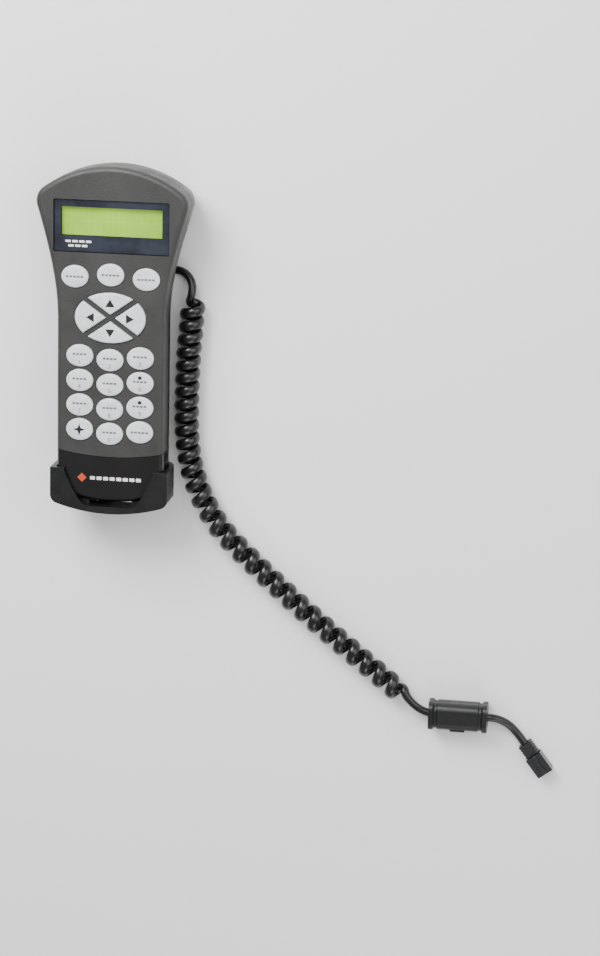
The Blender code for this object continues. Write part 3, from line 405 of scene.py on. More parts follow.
def finish_of(key):
    """The finish's material, made once and shared."""
    if key not in MADE:
        if key in SPECIAL:
            made = SPECIAL[key]()
        else:
            name, colour, *grain = MOULDED[key]
            if isinstance(colour, str):
                colour = getattr(bpy.context.scene.controller_colours, colour)
            made = moulded(name, colour, *grain)
        MADE[key] = made.material
    return MADE[key]


# ---- mesh helpers -----------------------------------------------------------------------
def sizes_of():
    return bpy.context.scene.controller_sizes


def link(name, data, finish=None):
    """Put new data into the scene as an object."""
    made = bpy.data.objects.new(name, data)
    bpy.context.scene.collection.objects.link(made)
    if finish:
        data.materials.append(finish_of(finish))
    return made


def to_mesh(bm, name):
    """Close off a bmesh as mesh data with its faces turned out."""
    bmesh.ops.recalc_face_normals(bm, faces=bm.faces)
    data = bpy.data.meshes.new(name)
    bm.to_mesh(data)
    bm.free()
    return data


def stack_into(bm, outlines):
    """Join rings of points that have the same count, and close both ends."""
    rings = [[bm.verts.new(point) for point in outline] for outline in outlines]
    count = len(rings[0])
    for low, high in zip(rings, rings[1:]):
        for i in range(count):
            bm.faces.new((low[i], low[(i + 1) % count], high[(i + 1) % count], high[i]))
    bm.faces.new(rings[0])
    bm.faces.new(rings[-1])


def stacked(name, outlines, finish=None):
    """Closed solid through rings of points."""
    bm = bmesh.new()
    stack_into(bm, outlines)
    return link(name, to_mesh(bm, name), finish)


def raised(points, z):
    """Points of the plane at a height."""
    return [(x, y, z) for x, y in points]


def prisms(name, outlines, low, high, finish=None):
    """Upright prisms over outlines in the plane, as one object."""
    bm = bmesh.new()
    for points in outlines:
        stack_into(bm, [raised(points, low), raised(points, high)])
    return link(name, to_mesh(bm, name), finish)


def prism(name, points, low, high, finish=None):
    return prisms(name, [points], low, high, finish)


def boxes(name, corners, finish=None):
    """Boxes between pairs of corners, as one object."""
    bm = bmesh.new()
    for low, high in corners:
        place = Matrix.Translation((Vector(low) + Vector(high)) / 2)
        size = Matrix.Diagonal((*(Vector(high) - Vector(low)), 1))
        bmesh.ops.create_cube(bm, size=1, matrix=place @ size)
    return link(name, to_mesh(bm, name), finish)


def box(name, low, high, finish=None):
    return boxes(name, [(low, high)], finish)


def rods(name, items, sides=40):
    """Cylinders, each given by its start, end and radius, as one object."""
    bm = bmesh.new()
    for start, end, radius in items:
        start, end = Vector(start), Vector(end)
        turn = (end - start).to_track_quat("Z", "Y").to_matrix().to_4x4()
        bmesh.ops.create_cone(bm, cap_ends=True, segments=sides, radius1=radius,
                              radius2=radius, depth=(end - start).length,
                              matrix=Matrix.Translation((start + end) / 2) @ turn)
    return link(name, to_mesh(bm, name))


def boolean(obj, tool, operation="DIFFERENCE"):
    """Cut or join and throw the tool away."""
    change = obj.modifiers.new("cut", "BOOLEAN")
    change.operation, change.solver, change.object = operation, "EXACT", tool
    settle(obj)
    bpy.data.objects.remove(tool, do_unlink=True)


def settle(obj):
    """Turn an object's modifiers and place into its plain mesh."""
    bpy.context.view_layer.update()
    seen = obj.evaluated_get(bpy.context.evaluated_depsgraph_get())
    data = bpy.data.meshes.new_from_object(seen)
    data.transform(obj.matrix_world)
    data.name = obj.name
    obj.modifiers.clear()
    if obj.type == "MESH":
        obj.data = data
        obj.matrix_world = Matrix.Identity(4)
        return obj
    name = obj.name
    bpy.data.objects.remove(obj, do_unlink=True)
    return link(name, data)


def round_edges(obj, width, segments=3, angle=32):
    """Small machined-looking radius on every sharp edge, then smooth shading."""
    bm = bmesh.new()
    bm.from_mesh(obj.data)
    bmesh.ops.remove_doubles(bm, verts=bm.verts, dist=WELD)
    bmesh.ops.dissolve_limit(bm, angle_limit=math.radians(0.4), verts=bm.verts, edges=bm.edges)
    bm.to_mesh(obj.data)
    bm.free()
    change = obj.modifiers.new("edges", "BEVEL")
    change.width, change.segments = width, segments
    change.limit_method, change.angle_limit = "ANGLE", math.radians(angle)
    change.use_clamp_overlap = True
    settle(obj)
    smooth(obj)
    even = obj.modifiers.new("even", "WEIGHTED_NORMAL")
    even.keep_sharp = True
    settle(obj)


def smooth(obj, angle=40):
    """Smooth shading, with edges sharper than the angle left hard."""
    obj.data.shade_smooth()
    obj.data.set_sharp_from_angle(angle=math.radians(angle))


def ellipse(half_x, half_y, x=0.0, y=0.0, sides=64):
    """Points round an ellipse."""
    turns = [2 * math.pi * i / sides for i in range(sides)]
    return [(x + half_x * math.cos(a), y + half_y * math.sin(a)) for a in turns]


def rounded_box(half_x, half_y, radius, x=0.0, y=0.0, steps=6):
    """Points round a rectangle with round corners."""
    points = []
    for quarter, (sx, sy) in enumerate(((1, 1), (-1, 1), (-1, -1), (1, -1))):
        for i in range(steps + 1):
            a = math.pi / 2 * (quarter + i / steps)
            points.append((x + sx * (half_x - radius) + radius * math.cos(a),
                           y + sy * (half_y - radius) + radius * math.sin(a)))
    return points


def arc(centre_y, radius, first, last, steps, centre_x=0.0):
    """Points along an arc between two angles in degrees."""
    angles = [math.radians(first + (last - first) * i / steps) for i in range(steps + 1)]
    return [(centre_x + radius * math.cos(a), centre_y + radius * math.sin(a)) for a in angles]


def quarter(steps):
    """Cosines and sines over a quarter turn."""
    angles = [math.pi / 2 * i / steps for i in range(steps + 1)]
    return [(math.cos(a), math.sin(a)) for a in angles]


def end_points(half_width, radius, corner, corner_steps=8, bow_steps=12):
    """Corner and bowed lower end of the right half, down to the middle line."""
    centre_y = END_Y + sizes_of().end_radius
    corner_x = half_width - corner
    corner_y = centre_y - math.sqrt((radius - corner) ** 2 - corner_x ** 2)
    turn = -math.degrees(math.acos(corner_x / (radius - corner)))
    return (arc(corner_y, corner, 0, turn, corner_steps, corner_x)
            + arc(centre_y, radius, turn, -90, bow_steps)[1:])


def half_outline(inset):
    """Right half of the housing's outline from the top, moved in by inset."""
    s = sizes_of()
    least = 0.0008
    top_radius = s.top_radius - inset
    corner = max(s.head_corner - inset, least)
    corner_x = HALF_HEAD - inset - corner
    centre_y = TOP_Y - s.top_radius
    corner_y = centre_y + math.sqrt((top_radius - corner) ** 2 - corner_x ** 2)
    turn = math.degrees(math.acos(corner_x / (top_radius - corner)))
    points = arc(centre_y, top_radius, 90, turn, 24)
    lean = -math.degrees(math.atan(s.shoulder_slope))
    points += arc(corner_y, corner, turn, lean, 16, corner_x)[1:]
    start_x, start_y = points[-1]
    end_x, end_y = s.half_body - inset, TOP_Y - s.waist
    run = start_y - end_y
    steps = 28
    for i in range(1, steps + 1):
        t = i / steps
        x = (start_x * (2 * t ** 3 - 3 * t ** 2 + 1) + end_x * (3 * t ** 2 - 2 * t ** 3)
             - s.shoulder_slope * run * (t ** 3 - 2 * t ** 2 + t))
        points.append((x, start_y - run * t))
    points += end_points(s.half_body - inset, s.end_radius - inset,
                         max(s.end_corner - inset, least))
    points[0] = (0.0, points[0][1])
    points[-1] = (0.0, points[-1][1])
    return points


def rear_z(y):
    """Height of the housing's back, which rises smoothly from the head to the body."""
    s = sizes_of()
    t = min(max((TOP_Y - y - s.bulge_start) / (s.bulge_end - s.bulge_start), 0.0), 1.0)
    return s.body_rear * t * t * (3 - 2 * t)


def cover_shell(name, rings, finish):
    """Cover from rings on the right half: mirrored, closed over its face and given its wall."""
    bm = bmesh.new()
    grid = [[bm.verts.new(point) for point in ring] for ring in rings]
    for upper, lower in zip(grid, grid[1:]):
        for i in range(len(upper) - 1):
            bm.faces.new((upper[i], lower[i], lower[i + 1], upper[i + 1]))
    last = grid[-1]
    middle = [bm.verts.new((0, v.co.y, v.co.z)) for v in last[1:-1]]
    middle = [last[0]] + middle + [last[-1]]
    for i in range(len(last) - 1):
        bm.faces.new(list(dict.fromkeys([last[i], middle[i], middle[i + 1], last[i + 1]])))
    made = link(name, to_mesh(bm, name), finish)
    mirror = made.modifiers.new("other_half", "MIRROR")
    mirror.use_clip, mirror.merge_threshold = True, 0.00001
    settle(made)
    bm = bmesh.new()
    bm.from_mesh(made.data)
    bmesh.ops.recalc_face_normals(bm, faces=bm.faces)
    bmesh.ops.dissolve_limit(bm, angle_limit=math.radians(0.05), verts=bm.verts, edges=bm.edges)
    bm.to_mesh(made.data)
    bm.free()
    wall = made.modifiers.new("wall", "SOLIDIFY")
    wall.thickness, wall.offset, wall.use_even_offset = sizes_of().wall, -1, True
    settle(made)
    return made


def front_rings(low_z):
    """Rings of the front cover's right half, from its lower edge up over the face's rounding."""
    radius = sizes_of().edge_radius
    rings = [raised(half_outline(0), low_z)]
    for cos, sin in quarter(8):
        rings.append(raised(half_outline(radius * (1 - cos)), FACE_Z - radius * (1 - sin)))
    return rings


def rear_rings(top):
    """Rings of the rear cover's right half, from its upper edge down round its back."""
    s = sizes_of()
    rings = [raised(half_outline(0), top)]
    for cos, sin in quarter(12):
        share = s.rear_straight + (1 - s.rear_straight) * sin
        inset = s.rear_corner * (1 - cos)
        rings.append([(x, y, top - (top - rear_z(y)) * share) for x, y in half_outline(inset)])
    return rings


def oval_of(node):
    """Centre and half sizes of an oval key, without its hidden flange."""
    low, high = span(node)
    middle = (low + high) / 2
    half_x = (high.x - low.x) / 2 - sizes_of().key_flange
    return middle.x, middle.y, half_x, half_x * (high.y - low.y) / (high.x - low.x)


OVAL_KEYS = (["key_align", "key_enter", "key_undo"] + [f"key_{n}" for n in range(1, 10)]
             + ["key_star", "key_0", "key_help"])
SECTORS = {"key_right": 0, "key_up": 90, "key_left": 180, "key_down": 270}


def pad_shape():
    """Centre and half sizes of the direction pad, without its hidden flange."""
    flange = sizes_of().key_flange
    middle = (PAD_LOW + PAD_HIGH) / 2
    return middle, (PAD_HIGH.x - PAD_LOW.x) / 2 - flange, (PAD_HIGH.y - PAD_LOW.y) / 2 - flange


def sector_outline(direction, inset, steps=36):
    """A direction key's outline, made smaller by inset, with its inner corner rounded off."""
    middle, half_x, half_y = pad_shape()
    spread = math.atan2(half_y, half_x)
    half = spread if direction % 180 == 0 else math.pi / 2 - spread
    facing = math.radians(direction)
    reach = (sizes_of().pad_bar / 2 + inset) / math.sin(half)
    tip = Vector((reach * math.cos(facing), reach * math.sin(facing)))
    half_x, half_y = half_x - inset, half_y - inset
    ends = []
    for side in (-1, 1):
        ray = Vector((math.cos(facing + side * half), math.sin(facing + side * half)))
        low, high = 0.0, half_x * 3
        for _ in range(40):
            t = (low + high) / 2
            point = tip + ray * t
            inside = (point.x / half_x) ** 2 + (point.y / half_y) ** 2 < 1
            low, high = (t, high) if inside else (low, t)
        ends.append(math.atan2(point.y / half_y, point.x / half_x))
    turn = (ends[1] - ends[0]) % (2 * math.pi)
    angles = [ends[0] + turn * i / steps for i in range(steps + 1)]
    rim = [(half_x * math.cos(a), half_y * math.sin(a)) for a in angles]
    return [(middle.x + x, middle.y + y) for x, y in [tuple(tip)] + rim]


def length_of(path):
    return sum((q - p).length for p, q in zip(path, path[1:]))


def smooth_path(route, spacing):
    """Points at an even spacing along a smooth curve through the route."""
    route = [Vector(p) for p in route]
    ends = [route[0] * 2 - route[1]] + route + [route[-1] * 2 - route[-2]]
    fine = []
    for a, b, c, d in zip(ends, ends[1:], ends[2:], ends[3:]):
        for step in range(24):
            t = step / 24
            fine.append(0.5 * (2 * b + (c - a) * t + (2 * a - 5 * b + 4 * c - d) * t * t
                               + (3 * b - a - 3 * c + d) * t ** 3))
    fine.append(route[-1])
    length = length_of(fine)
    count = max(2, round(length / spacing))
    picked, run, wanted = [fine[0]], 0.0, length / count
    for p, q in zip(fine, fine[1:]):
        part = (q - p).length
        while part and run + part >= wanted and len(picked) < count:
            picked.append(p.lerp(q, (wanted - run) / part))
            wanted += length / count
        run += part
    picked.append(fine[-1])
    return picked


def tube(name, points, radii, sides, finish, flat=None):
    """Tube with closed ends along points, its rings carried on without twist.

    flat may give each point a direction, its thickness and its width as shares of the radius.
    """
    points = [Vector(p) for p in points]
    tangent = (points[1] - points[0]).normalized()
    across = tangent.orthogonal().normalized()
    outlines = []
    for i, point in enumerate(points):
        new = (points[min(i + 1, len(points) - 1)] - points[max(i - 1, 0)]).normalized()
        across = tangent.rotation_difference(new) @ across
        across = (across - new * across.dot(new)).normalized()
        tangent, up = new, new.cross(across)
        ring = [(across * math.cos(a) + up * math.sin(a)) * radii[i]
                for a in (2 * math.pi * k / sides for k in range(sides))]
        if flat:
            facing, thick, wide = flat[i]
            ring = [v * wide + facing * v.dot(facing) * (thick - wide) for v in ring]
        outlines.append([point + v for v in ring])
    made = stacked(name, outlines, finish)
    smooth(made, 50)
    return made


def paint(node, finish):
    """A better finish on a CAD node that stays."""
    for slot in bpy.data.objects[node].material_slots:
        slot.material = finish_of(finish)


def ride_on(piece, body):
    """The piece moves with a body."""
    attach(piece, body)


def stand_for(piece, node, body):
    """The piece takes a CAD node's place on its body."""
    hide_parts(node)
    ride_on(piece, body)


# ---- cord route -------------------------------------------------------------------------
LEAD_ROUTE = [
    (-0.0070, -0.09675, 0.0111), (-0.0070, -0.0966, 0.0090), (-0.0070, -0.0953, 0.0066),
    (-0.0070, -0.0921, 0.0036), (-0.0068, -0.0876, 0.0024), (-0.0060, -0.0800, 0.0023),
    (-0.0040, -0.0640, 0.0023), (0.0015, -0.0420, 0.0023), (0.0085, -0.0200, 0.0023),
    (0.0135, 0.0020, 0.0023), (0.0162, 0.0200, 0.0023), (0.0205, 0.0310, 0.0023),
    (0.0285, 0.0365, 0.0023), (0.0365, 0.0345, 0.0034), (0.0407, 0.0285, 0.0060),
    (0.0405, 0.0222, 0.0071),
]
CURL_ROUTE = [
    (0.0405, 0.0214), (0.0396, 0.0080), (0.0382, -0.0120), (0.0376, -0.0350), (0.0380, -0.0560),
    (0.0405, -0.0730), (0.0455, -0.0880), (0.0530, -0.1020), (0.0625, -0.1140), (0.0760, -0.1270),
    (0.0900, -0.1395), (0.1045, -0.1520), (0.1215, -0.1660), (0.1380, -0.1790), (0.1540, -0.1915),
    (0.1660, -0.2010),
]
TAIL_ROUTE = [
    (0.1667, -0.2016, 0.0071), (0.1693, -0.2042, 0.0071), (0.1722, -0.2070, 0.0072),
    (0.1755, -0.2088, 0.0074), (0.1790, -0.2095, 0.0075), (0.1960, -0.2095, 0.0075),
    (0.2130, -0.2095, 0.0074), (0.2195, -0.2108, 0.0062), (0.2250, -0.2143, 0.0042),
    (0.2297, -0.2193, 0.0033), (0.2337, -0.2245, 0.0033),
]


POINT_SPACING = 0.45        # of the plain cord's points, as a share of its diameter
CURL_SPARE = 0.0001         # the curls stay this far inside their outer diameter
AXIS_STEP = 0.0003          # spacing of the points on the curls' axis
STRETCH_START, STRETCH_RUN = 0.28, 0.2      # shares of the axis where the pitch grows
OPENING_TURNS = 0.7         # the helix opens and closes over this many turns


def curl_points():
    """The helix, its outward directions and how far it has opened: it closes in its last turn."""
    s = bpy.context.scene.controller_cord
    reach = s.curl_diameter / 2 - s.diameter / 2 * s.strand_thick - CURL_SPARE
    axis = smooth_path([(x, y, s.curl_diameter / 2) for x, y in CURL_ROUTE], AXIS_STEP)
    length = length_of(axis)
    points, outward, opened = [], [], []
    turn, run, wanted = 0.0, 0.0, 0.0
    step = 2 * math.pi / s.turn_points
    for p, q in zip(axis, axis[1:]):
        blend = min(max((run / length - STRETCH_START) / STRETCH_RUN, 0.0), 1.0)
        pitch = s.pitch_near + (s.pitch_far - s.pitch_near) * blend
        part = (q - p).length
        turn += 2 * math.pi * part / pitch
        run += part
        if turn < wanted:
            continue
        wanted += step
        ease = min(1.0, run / s.pitch_near / OPENING_TURNS,
                   (length - run) / s.pitch_far / OPENING_TURNS)
        ease = math.sin(math.pi / 2 * max(ease, 0.0))
        side = (q - p).normalized().cross(Vector((0, 0, 1))).normalized()
        out = Vector((0, 0, 1)) * math.cos(turn) + side * math.sin(turn)
        points.append(p + out * reach * ease)
        outward.append(out)
        opened.append(ease)
    return points[2:-2], outward[2:-2], opened[2:-2]


def cord_path():
    """Points of the whole cord, and the shape of its section at each of them."""
    s = bpy.context.scene.controller_cord
    lead, tail = (smooth_path(route, s.diameter * POINT_SPACING)
                  for route in (LEAD_ROUTE, TAIL_ROUTE))
    curl, outward, opened = curl_points()
    plain = (Vector((0, 0, 1)), 1.0, 1.0)
    flat = [(out, 1 + (s.strand_thick - 1) * ease, 1 + (s.strand_wide - 1) * ease)
            for out, ease in zip(outward, opened)]
    path = lead[:-1] + curl + tail[1:]
    ease_joint(path, len(lead) - 1)
    ease_joint(path, len(path) - len(tail) + 1)
    return path, [plain] * (len(lead) - 1) + flat + [plain] * (len(tail) - 1)


def ease_joint(path, joint, reach=16, passes=12):
    """Take the kink out of the path where two of its stretches meet, less and less beside it."""
    for _ in range(passes):
        for i in range(joint - reach, joint + reach + 1):
            share = math.cos(math.pi / 2 * (i - joint) / reach) ** 2 / 2
            path[i] = path[i].lerp((path[i - 1] + path[i + 1]) / 2, share)


# ---- operators --------------------------------------------------------------------------
# name, place, side of its square, power
LIGHTS = (("key_light", (-0.30, 0.62, 0.66), 0.5, 15.0), ("fill_light", (1.2, 0.3, 1.1), 1.2, 12.0),
          ("low_light", (0.6, -1.3, 1.0), 0.9, 9.0), ("top_light", (0.1, 1.2, 1.9), 1.4, 22.0))
LIGHT_AIM = Vector((0.06, -0.05, 0))
FLOOR_HALF = 3.0
FLOOR_PLACE = (0.1, -0.08, -0.0002)
SKY_STRENGTH = 0.42


class MakeStage(bpy.types.Operator):
    """Floor, lights and camera"""

    bl_idname = "controller.stage"
    bl_label = "Stage"

    def execute(self, context):
        bm = bmesh.new()
        bmesh.ops.create_grid(bm, x_segments=8, y_segments=8, size=FLOOR_HALF)
        floor = link("floor", to_mesh(bm, "floor"))
        floor.location = FLOOR_PLACE
        paper = moulded("paper_floor", (0.86, 0.86, 0.86), 300, 0.00001, 0.7, 0.8)
        paper.feed("Base Color", paper.mix(paper.noise(3.0), (0.86, 0.86, 0.86, 1),
                                           (0.89, 0.89, 0.89, 1)))
        floor.data.materials.append(paper.material)
        for light in LIGHTS:
            self.light(*light)
        world = bpy.data.worlds.new("studio")
        world.use_nodes = True
        sky = world.node_tree.nodes["Background"].inputs
        sky["Color"].default_value = (1, 1, 1, 1)
        sky["Strength"].default_value = SKY_STRENGTH
        context.scene.world = world
        self.camera(context.scene)
        return {"FINISHED"}

    def light(self, name, place, size, power):
        data = bpy.data.lights.new(name, "AREA")
        data.size, data.energy = size, power
        made = link(name, data)
        made.location = place
        made.rotation_euler = (LIGHT_AIM - Vector(place)).to_track_quat("-Z", "Y").to_euler()

    def camera(self, scene):
        s = scene.controller_stage
        low, high = Vector(CAD_BOX[0]), Vector(CAD_BOX[1])
        target = (low + high) / 2
        right = math.sin(s.azimuth)
        top = math.sin(s.elevation)
        back = Vector((right, top, math.sqrt(1 - right * right - top * top)))
        across = Vector((0, 1, 0)).cross(back).normalized()
        up = back.cross(across)
        turn = Matrix.Rotation(s.roll, 3, back)
        across, up = turn @ across, turn @ up
        data = bpy.data.cameras.new("camera")
        data.sensor_fit = "HORIZONTAL"
        data.lens = data.sensor_width * s.distance / s.field
        data.clip_start, data.clip_end = 0.05, 20.0
        scene.camera = link("camera", data)
        axes = Matrix((across, up, back)).transposed().to_4x4()
        scene.camera.matrix_world = Matrix.Translation(target + back * s.distance) @ axes


class MakeCord(bpy.types.Operator):
    """Plain lead, curls and tail as one sheath, from the boot to the plug"""

    bl_idname = "controller.cord"
    bl_label = "Cord"

    def execute(self, context):
        s = context.scene.controller_cord
        path, flat = cord_path()
        cord = tube("cord", path, [s.diameter / 2] * len(path), s.sides, "cord", flat)
        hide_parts("cord_lead", "cord_curl", "cord_tail")
        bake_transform(cord)
        round(length_of(path), 3)
        return {"FINISHED"}


KEY_GAP = 0.0004            # between a key and its opening
WINDOW_CORNER = 0.0008
CHIN_SEAM = 0.00015         # half the gap between face and chin


class MakeHousing(bpy.types.Operator):
    """Front cover with its openings, chin and rear cover"""

    bl_idname = "controller.housing"
    bl_label = "Housing"

    def execute(self, context):
        front = cover_shell("front_shell", front_rings(FRONT_LOW.z), "housing")
        boolean(front, self.openings())
        boolean(front, self.chin_block(CHIN_SEAM, "below_face"))
        round_edges(front, 0.00028, 2)
        stand_for(front, "front_cover", CONTROLLER)
        chin = cover_shell("chin_shell", front_rings(FRONT_LOW.z), "chin")
        boolean(chin, self.chin_block(-CHIN_SEAM, "chin_only"), "INTERSECT")
        round_edges(chin, 0.00028, 2)
        stand_for(chin, "end_cover", CONTROLLER)
        self.rear()
        self.marks()
        return {"FINISHED"}

    def openings(self):
        """Everything the face is cut through for: the window, the keys and the pad."""
        s = sizes_of()
        window_y = TOP_Y - s.window_drop - s.window_height / 2
        outlines = [rounded_box(s.window_width / 2, s.window_height / 2, WINDOW_CORNER,
                                y=window_y)]
        for name in OVAL_KEYS:
            x, y, half_x, half_y = oval_of(name)
            outlines.append(ellipse(half_x + KEY_GAP, half_y + KEY_GAP, x, y))
        outlines += [sector_outline(direction, -KEY_GAP) for direction in SECTORS.values()]
        return prisms("openings", outlines, FACE_Z - s.wall * 2, FACE_Z + s.wall)

    def chin_block(self, shift, name):
        """Everything below the bowed line between face and chin, moved up by shift."""
        bow = sizes_of().chin_bow
        line_y = FRONT_LOW.y + shift - CHIN_SEAM
        line = [(x, y + line_y + bow) for x, y in arc(0, bow, -110, -70, 60)]
        points = line + [(line[-1][0], END_Y - 0.02), (line[0][0], END_Y - 0.02)]
        return prism(name, points, FRONT_LOW.z - 0.005, FACE_Z + 0.005)

    def rear(self):
        """Rear cover with a post and a well for each screw, and holes for socket and boot."""
        s = sizes_of()
        rear = cover_shell("rear_shell", rear_rings(REAR_HIGH.z), "black")
        for i in range(1, 5):
            low, high = span(f"housing_screw_{i}")
            x, y, _ = (low + high) / 2
            base = rear_z(y)
            radius = (high.x - low.x) / 2 + SPARE
            post = ((x, y, base + s.wall * 0.8), (x, y, REAR_HIGH.z), radius + 0.0011)
            well = ((x, y, base - 0.002), (x, y, low.z + HEAD_WELL), radius)
            boolean(rear, rods("post", [post]), "UNION")
            boolean(rear, rods("well", [well]))
        outer_y, inner_y = END_Y - 0.004, END_Y + s.rear_corner
        low, high = span("serial_socket")
        boolean(rear, box("socket_hole", (low.x - SPARE, outer_y, low.z - SPARE),
                          (high.x + SPARE, inner_y, high.z + SPARE)))
        low, high = span("strain_relief")
        x, radius = (low.x + high.x) / 2, (high.x - low.x) / 2
        z = high.z - radius
        boolean(rear, rods("boot_hole", [((x, outer_y, z), (x, inner_y, z), radius + SPARE)]))
        round_edges(rear, 0.00025, 2)
        stand_for(rear, "rear_cover", CONTROLLER)

    def marks(self):
        """Plain marks where the housing is printed: a diamond and a row of blocks on the chin."""
        x, y = -0.0155, END_Y + 0.0135
        corner, first, pitch = 0.0026, -0.0095, 0.0037
        levels = FACE_Z - PRINT_SINK, FACE_Z + PRINT_HEIGHT
        diamond = [(x + corner, y), (x, y + corner), (x - corner, y), (x, y - corner)]
        blocks = [rounded_box(0.0014, 0.00095, 0.0003, first + i * pitch, y) for i in range(8)]
        for piece in (prism("chin_dot", diamond, *levels, "accent"),
                      prisms("chin_dashes", blocks, *levels, "white_print")):
            ride_on(piece, CONTROLLER)


class MakeDisplay(bpy.types.Operator):
    """Window with its clear area, and the display under it"""

    bl_idname = "controller.display"
    bl_label = "Display"

    def execute(self, context):
        low, high = span("window_lens")
        outline = rounded_box((high.x - low.x) / 2, (high.y - low.y) / 2, 0.0006,
                              y=(low.y + high.y) / 2)
        lens = prism("window", outline, low.z, high.z, "lens")
        round_edges(lens, 0.00018, 2)
        stand_for(lens, "window_lens", CONTROLLER)
        self.marks(low.y + 0.0056, high.z)
        for node, finish in (("lcd_glass", "display"), ("lcd_frame", "frame"),
                             ("lcd_backlight", "light"), ("lcd_board", "board"),
                             ("display_header", "black"), ("main_board", "board"),
                             ("processor", "black"), ("keypad_mat", "mat"),
                             ("serial_socket", "black"), ("choke_core", "ferrite")):
            paint(node, finish)
        return {"FINISHED"}

    def marks(self, y, top):
        """Two rows of plain blocks at the window's lower left."""
        first, pitch, shift, drop = -0.0240, 0.0038, 0.0016, 0.0024
        blocks = [rounded_box(0.0015, 0.0006, 0.00025, first + i * pitch + row * shift,
                              y - row * drop) for row in range(2) for i in range(4 - row)]
        ride_on(prisms("window_print", blocks, top - PRINT_SINK, top + 0.00004, "white_print"),
                CONTROLLER)

def pillow(share, crown, fullness=2.6):
    """Drop of a key's top at a share of its half size; a fuller dome stays flat for longer."""
    return crown * (1 - math.sqrt(max(0.0, 1 - share ** fullness)))


class MakeKeys(bpy.types.Operator):
    """The keys, each with its domed top and its printed legend"""

    bl_idname = "controller.keys"
    bl_label = "Keys"

    def execute(self, context):
        for name in OVAL_KEYS:
            self.oval(name)
        for name, direction in SECTORS.items():
            self.sector(name, direction)
        return {"FINISHED"}

    def sides(self, low, high):
        """How far a key's side stands out at each height: its flange, then straight up."""
        s = sizes_of()
        flange_top, step, below_dome = low.z + 0.0012, 0.00002, 0.0001
        return [(s.key_flange, low.z), (s.key_flange, flange_top), (0, flange_top + step),
                (0, high.z - s.key_crown - below_dome)]

    def cap(self, name, outlines, angle):
        """A key's piece, from its rings."""
        piece = stacked("cap_" + name[4:], outlines, "key")
        smooth(piece, angle)
        stand_for(piece, name, name + "_body")

    def oval(self, name):
        """Oval key whose dome closes in rings."""
        crown, steps = sizes_of().key_crown, 14
        x, y, half_x, half_y = oval_of(name)
        low, high = span(name)
        rings = [(half_x + grow, half_y + grow, z) for grow, z in self.sides(low, high)]
        for i in range(steps):
            share = math.sin(math.pi / 2 * (1 - i / steps))
            rings.append((half_x * share, half_y * share, high.z - pillow(share, crown)))
        self.cap(name, [raised(ellipse(wide, tall, x, y), z) for wide, tall, z in rings], 40)
        self.legend(name, x, y, half_x, half_y, high.z)

    def legend(self, name, x, y, half_x, half_y, top):
        """Print that follows the dome: a star, or grey dashes with the key's number under them."""
        mark = name[4:]
        number = mark.isdigit()
        finish = "dark_print" if mark == "star" else "print"
        if mark == "star":
            tip, notch = 0.0036, 0.0012
            turns = [(math.pi / 4 * i, notch if i % 2 else tip) for i in range(8)]
            outlines = [[(x + reach * math.cos(a), y + reach * math.sin(a)) for a, reach in turns]]
        else:
            pitch, count, rise = 0.00205, 4 if number else 5, 0.0009 if number else 0.0
            outlines = [rounded_box(0.00080, 0.00055, 0.0002, x + (i - (count - 1) / 2) * pitch,
                                    y + rise) for i in range(count)]
        pieces = [prisms("print_" + mark, outlines, 0, PRINT_HEIGHT, finish)]
        if number:
            self.add_number(pieces[0], mark, x, y - 0.0034)
        if mark in ("6", "9"):
            dot = ellipse(0.0011, 0.0010, x, y + 0.0031, 24)
            pieces.append(prism("dot_" + mark, dot, 0, PRINT_HEIGHT, "dark_print"))
        crown = sizes_of().key_crown
        for piece in pieces:
            for vertex in piece.data.vertices:
                share = math.hypot((vertex.co.x - x) / half_x, (vertex.co.y - y) / half_y)
                vertex.co.z += top - pillow(share, crown) - PRINT_SINK
            ride_on(piece, name + "_body")

    def add_number(self, piece, mark, x, y):
        """Join a digit, made as text, to a key's print."""
        data = bpy.data.curves.new("number", "FONT")
        data.body, data.size, data.extrude = mark, 0.0036, PRINT_HEIGHT / 2
        data.align_x, data.align_y, data.resolution_u = "CENTER", "CENTER", 3
        text = settle(link("number", data))
        bm = bmesh.new()
        bm.from_mesh(text.data)
        bmesh.ops.remove_doubles(bm, verts=bm.verts, dist=WELD / 2)
        bmesh.ops.recalc_face_normals(bm, faces=bm.faces)
        bmesh.ops.translate(bm, verts=bm.verts, vec=(x, y, PRINT_HEIGHT / 2))
        bm.from_mesh(piece.data)
        bm.to_mesh(piece.data)
        bm.free()
        bpy.data.objects.remove(text, do_unlink=True)

    def sector(self, name, direction):
        """Direction key with a rounded edge and a flat top."""
        crown, edge = sizes_of().key_crown, 0.0011
        low, high = span(name)
        levels = [(-grow, z) for grow, z in self.sides(low, high)]
        levels += [(edge * (1 - cos), high.z - crown * (1 - sin)) for cos, sin in quarter(8)]
        self.cap(name, [raised(sector_outline(direction, inset), z) for inset, z in levels], 35)
        self.arrow(name, direction, high.z)

    def arrow(self, name, direction, top):
        """Triangle that points away from the pad's middle."""
        middle, half_x, half_y = pad_shape()
        facing = Vector((math.cos(math.radians(direction)), math.sin(math.radians(direction))))
        across = Vector((-facing.y, facing.x)) * 0.0026
        reach = half_x * 0.55 if direction % 180 == 0 else half_y * 0.58
        centre = middle + facing * reach
        base = centre - facing * 0.0019
        corners = [centre + facing * 0.0025, base + across, base - across]
        ride_on(prism("arrow_" + name[4:], corners, top - PRINT_SINK, top + PRINT_HEIGHT,
                      "dark_print"), name + "_body")


def along_y(name, half, low_y, high_y):
    """Prism along y from the right half of its section, given from its top down."""
    section = half + [(-x, z) for x, z in reversed(half)]
    return stacked(name, [[(x, y, z) for x, z in section] for y in (low_y, high_y)])


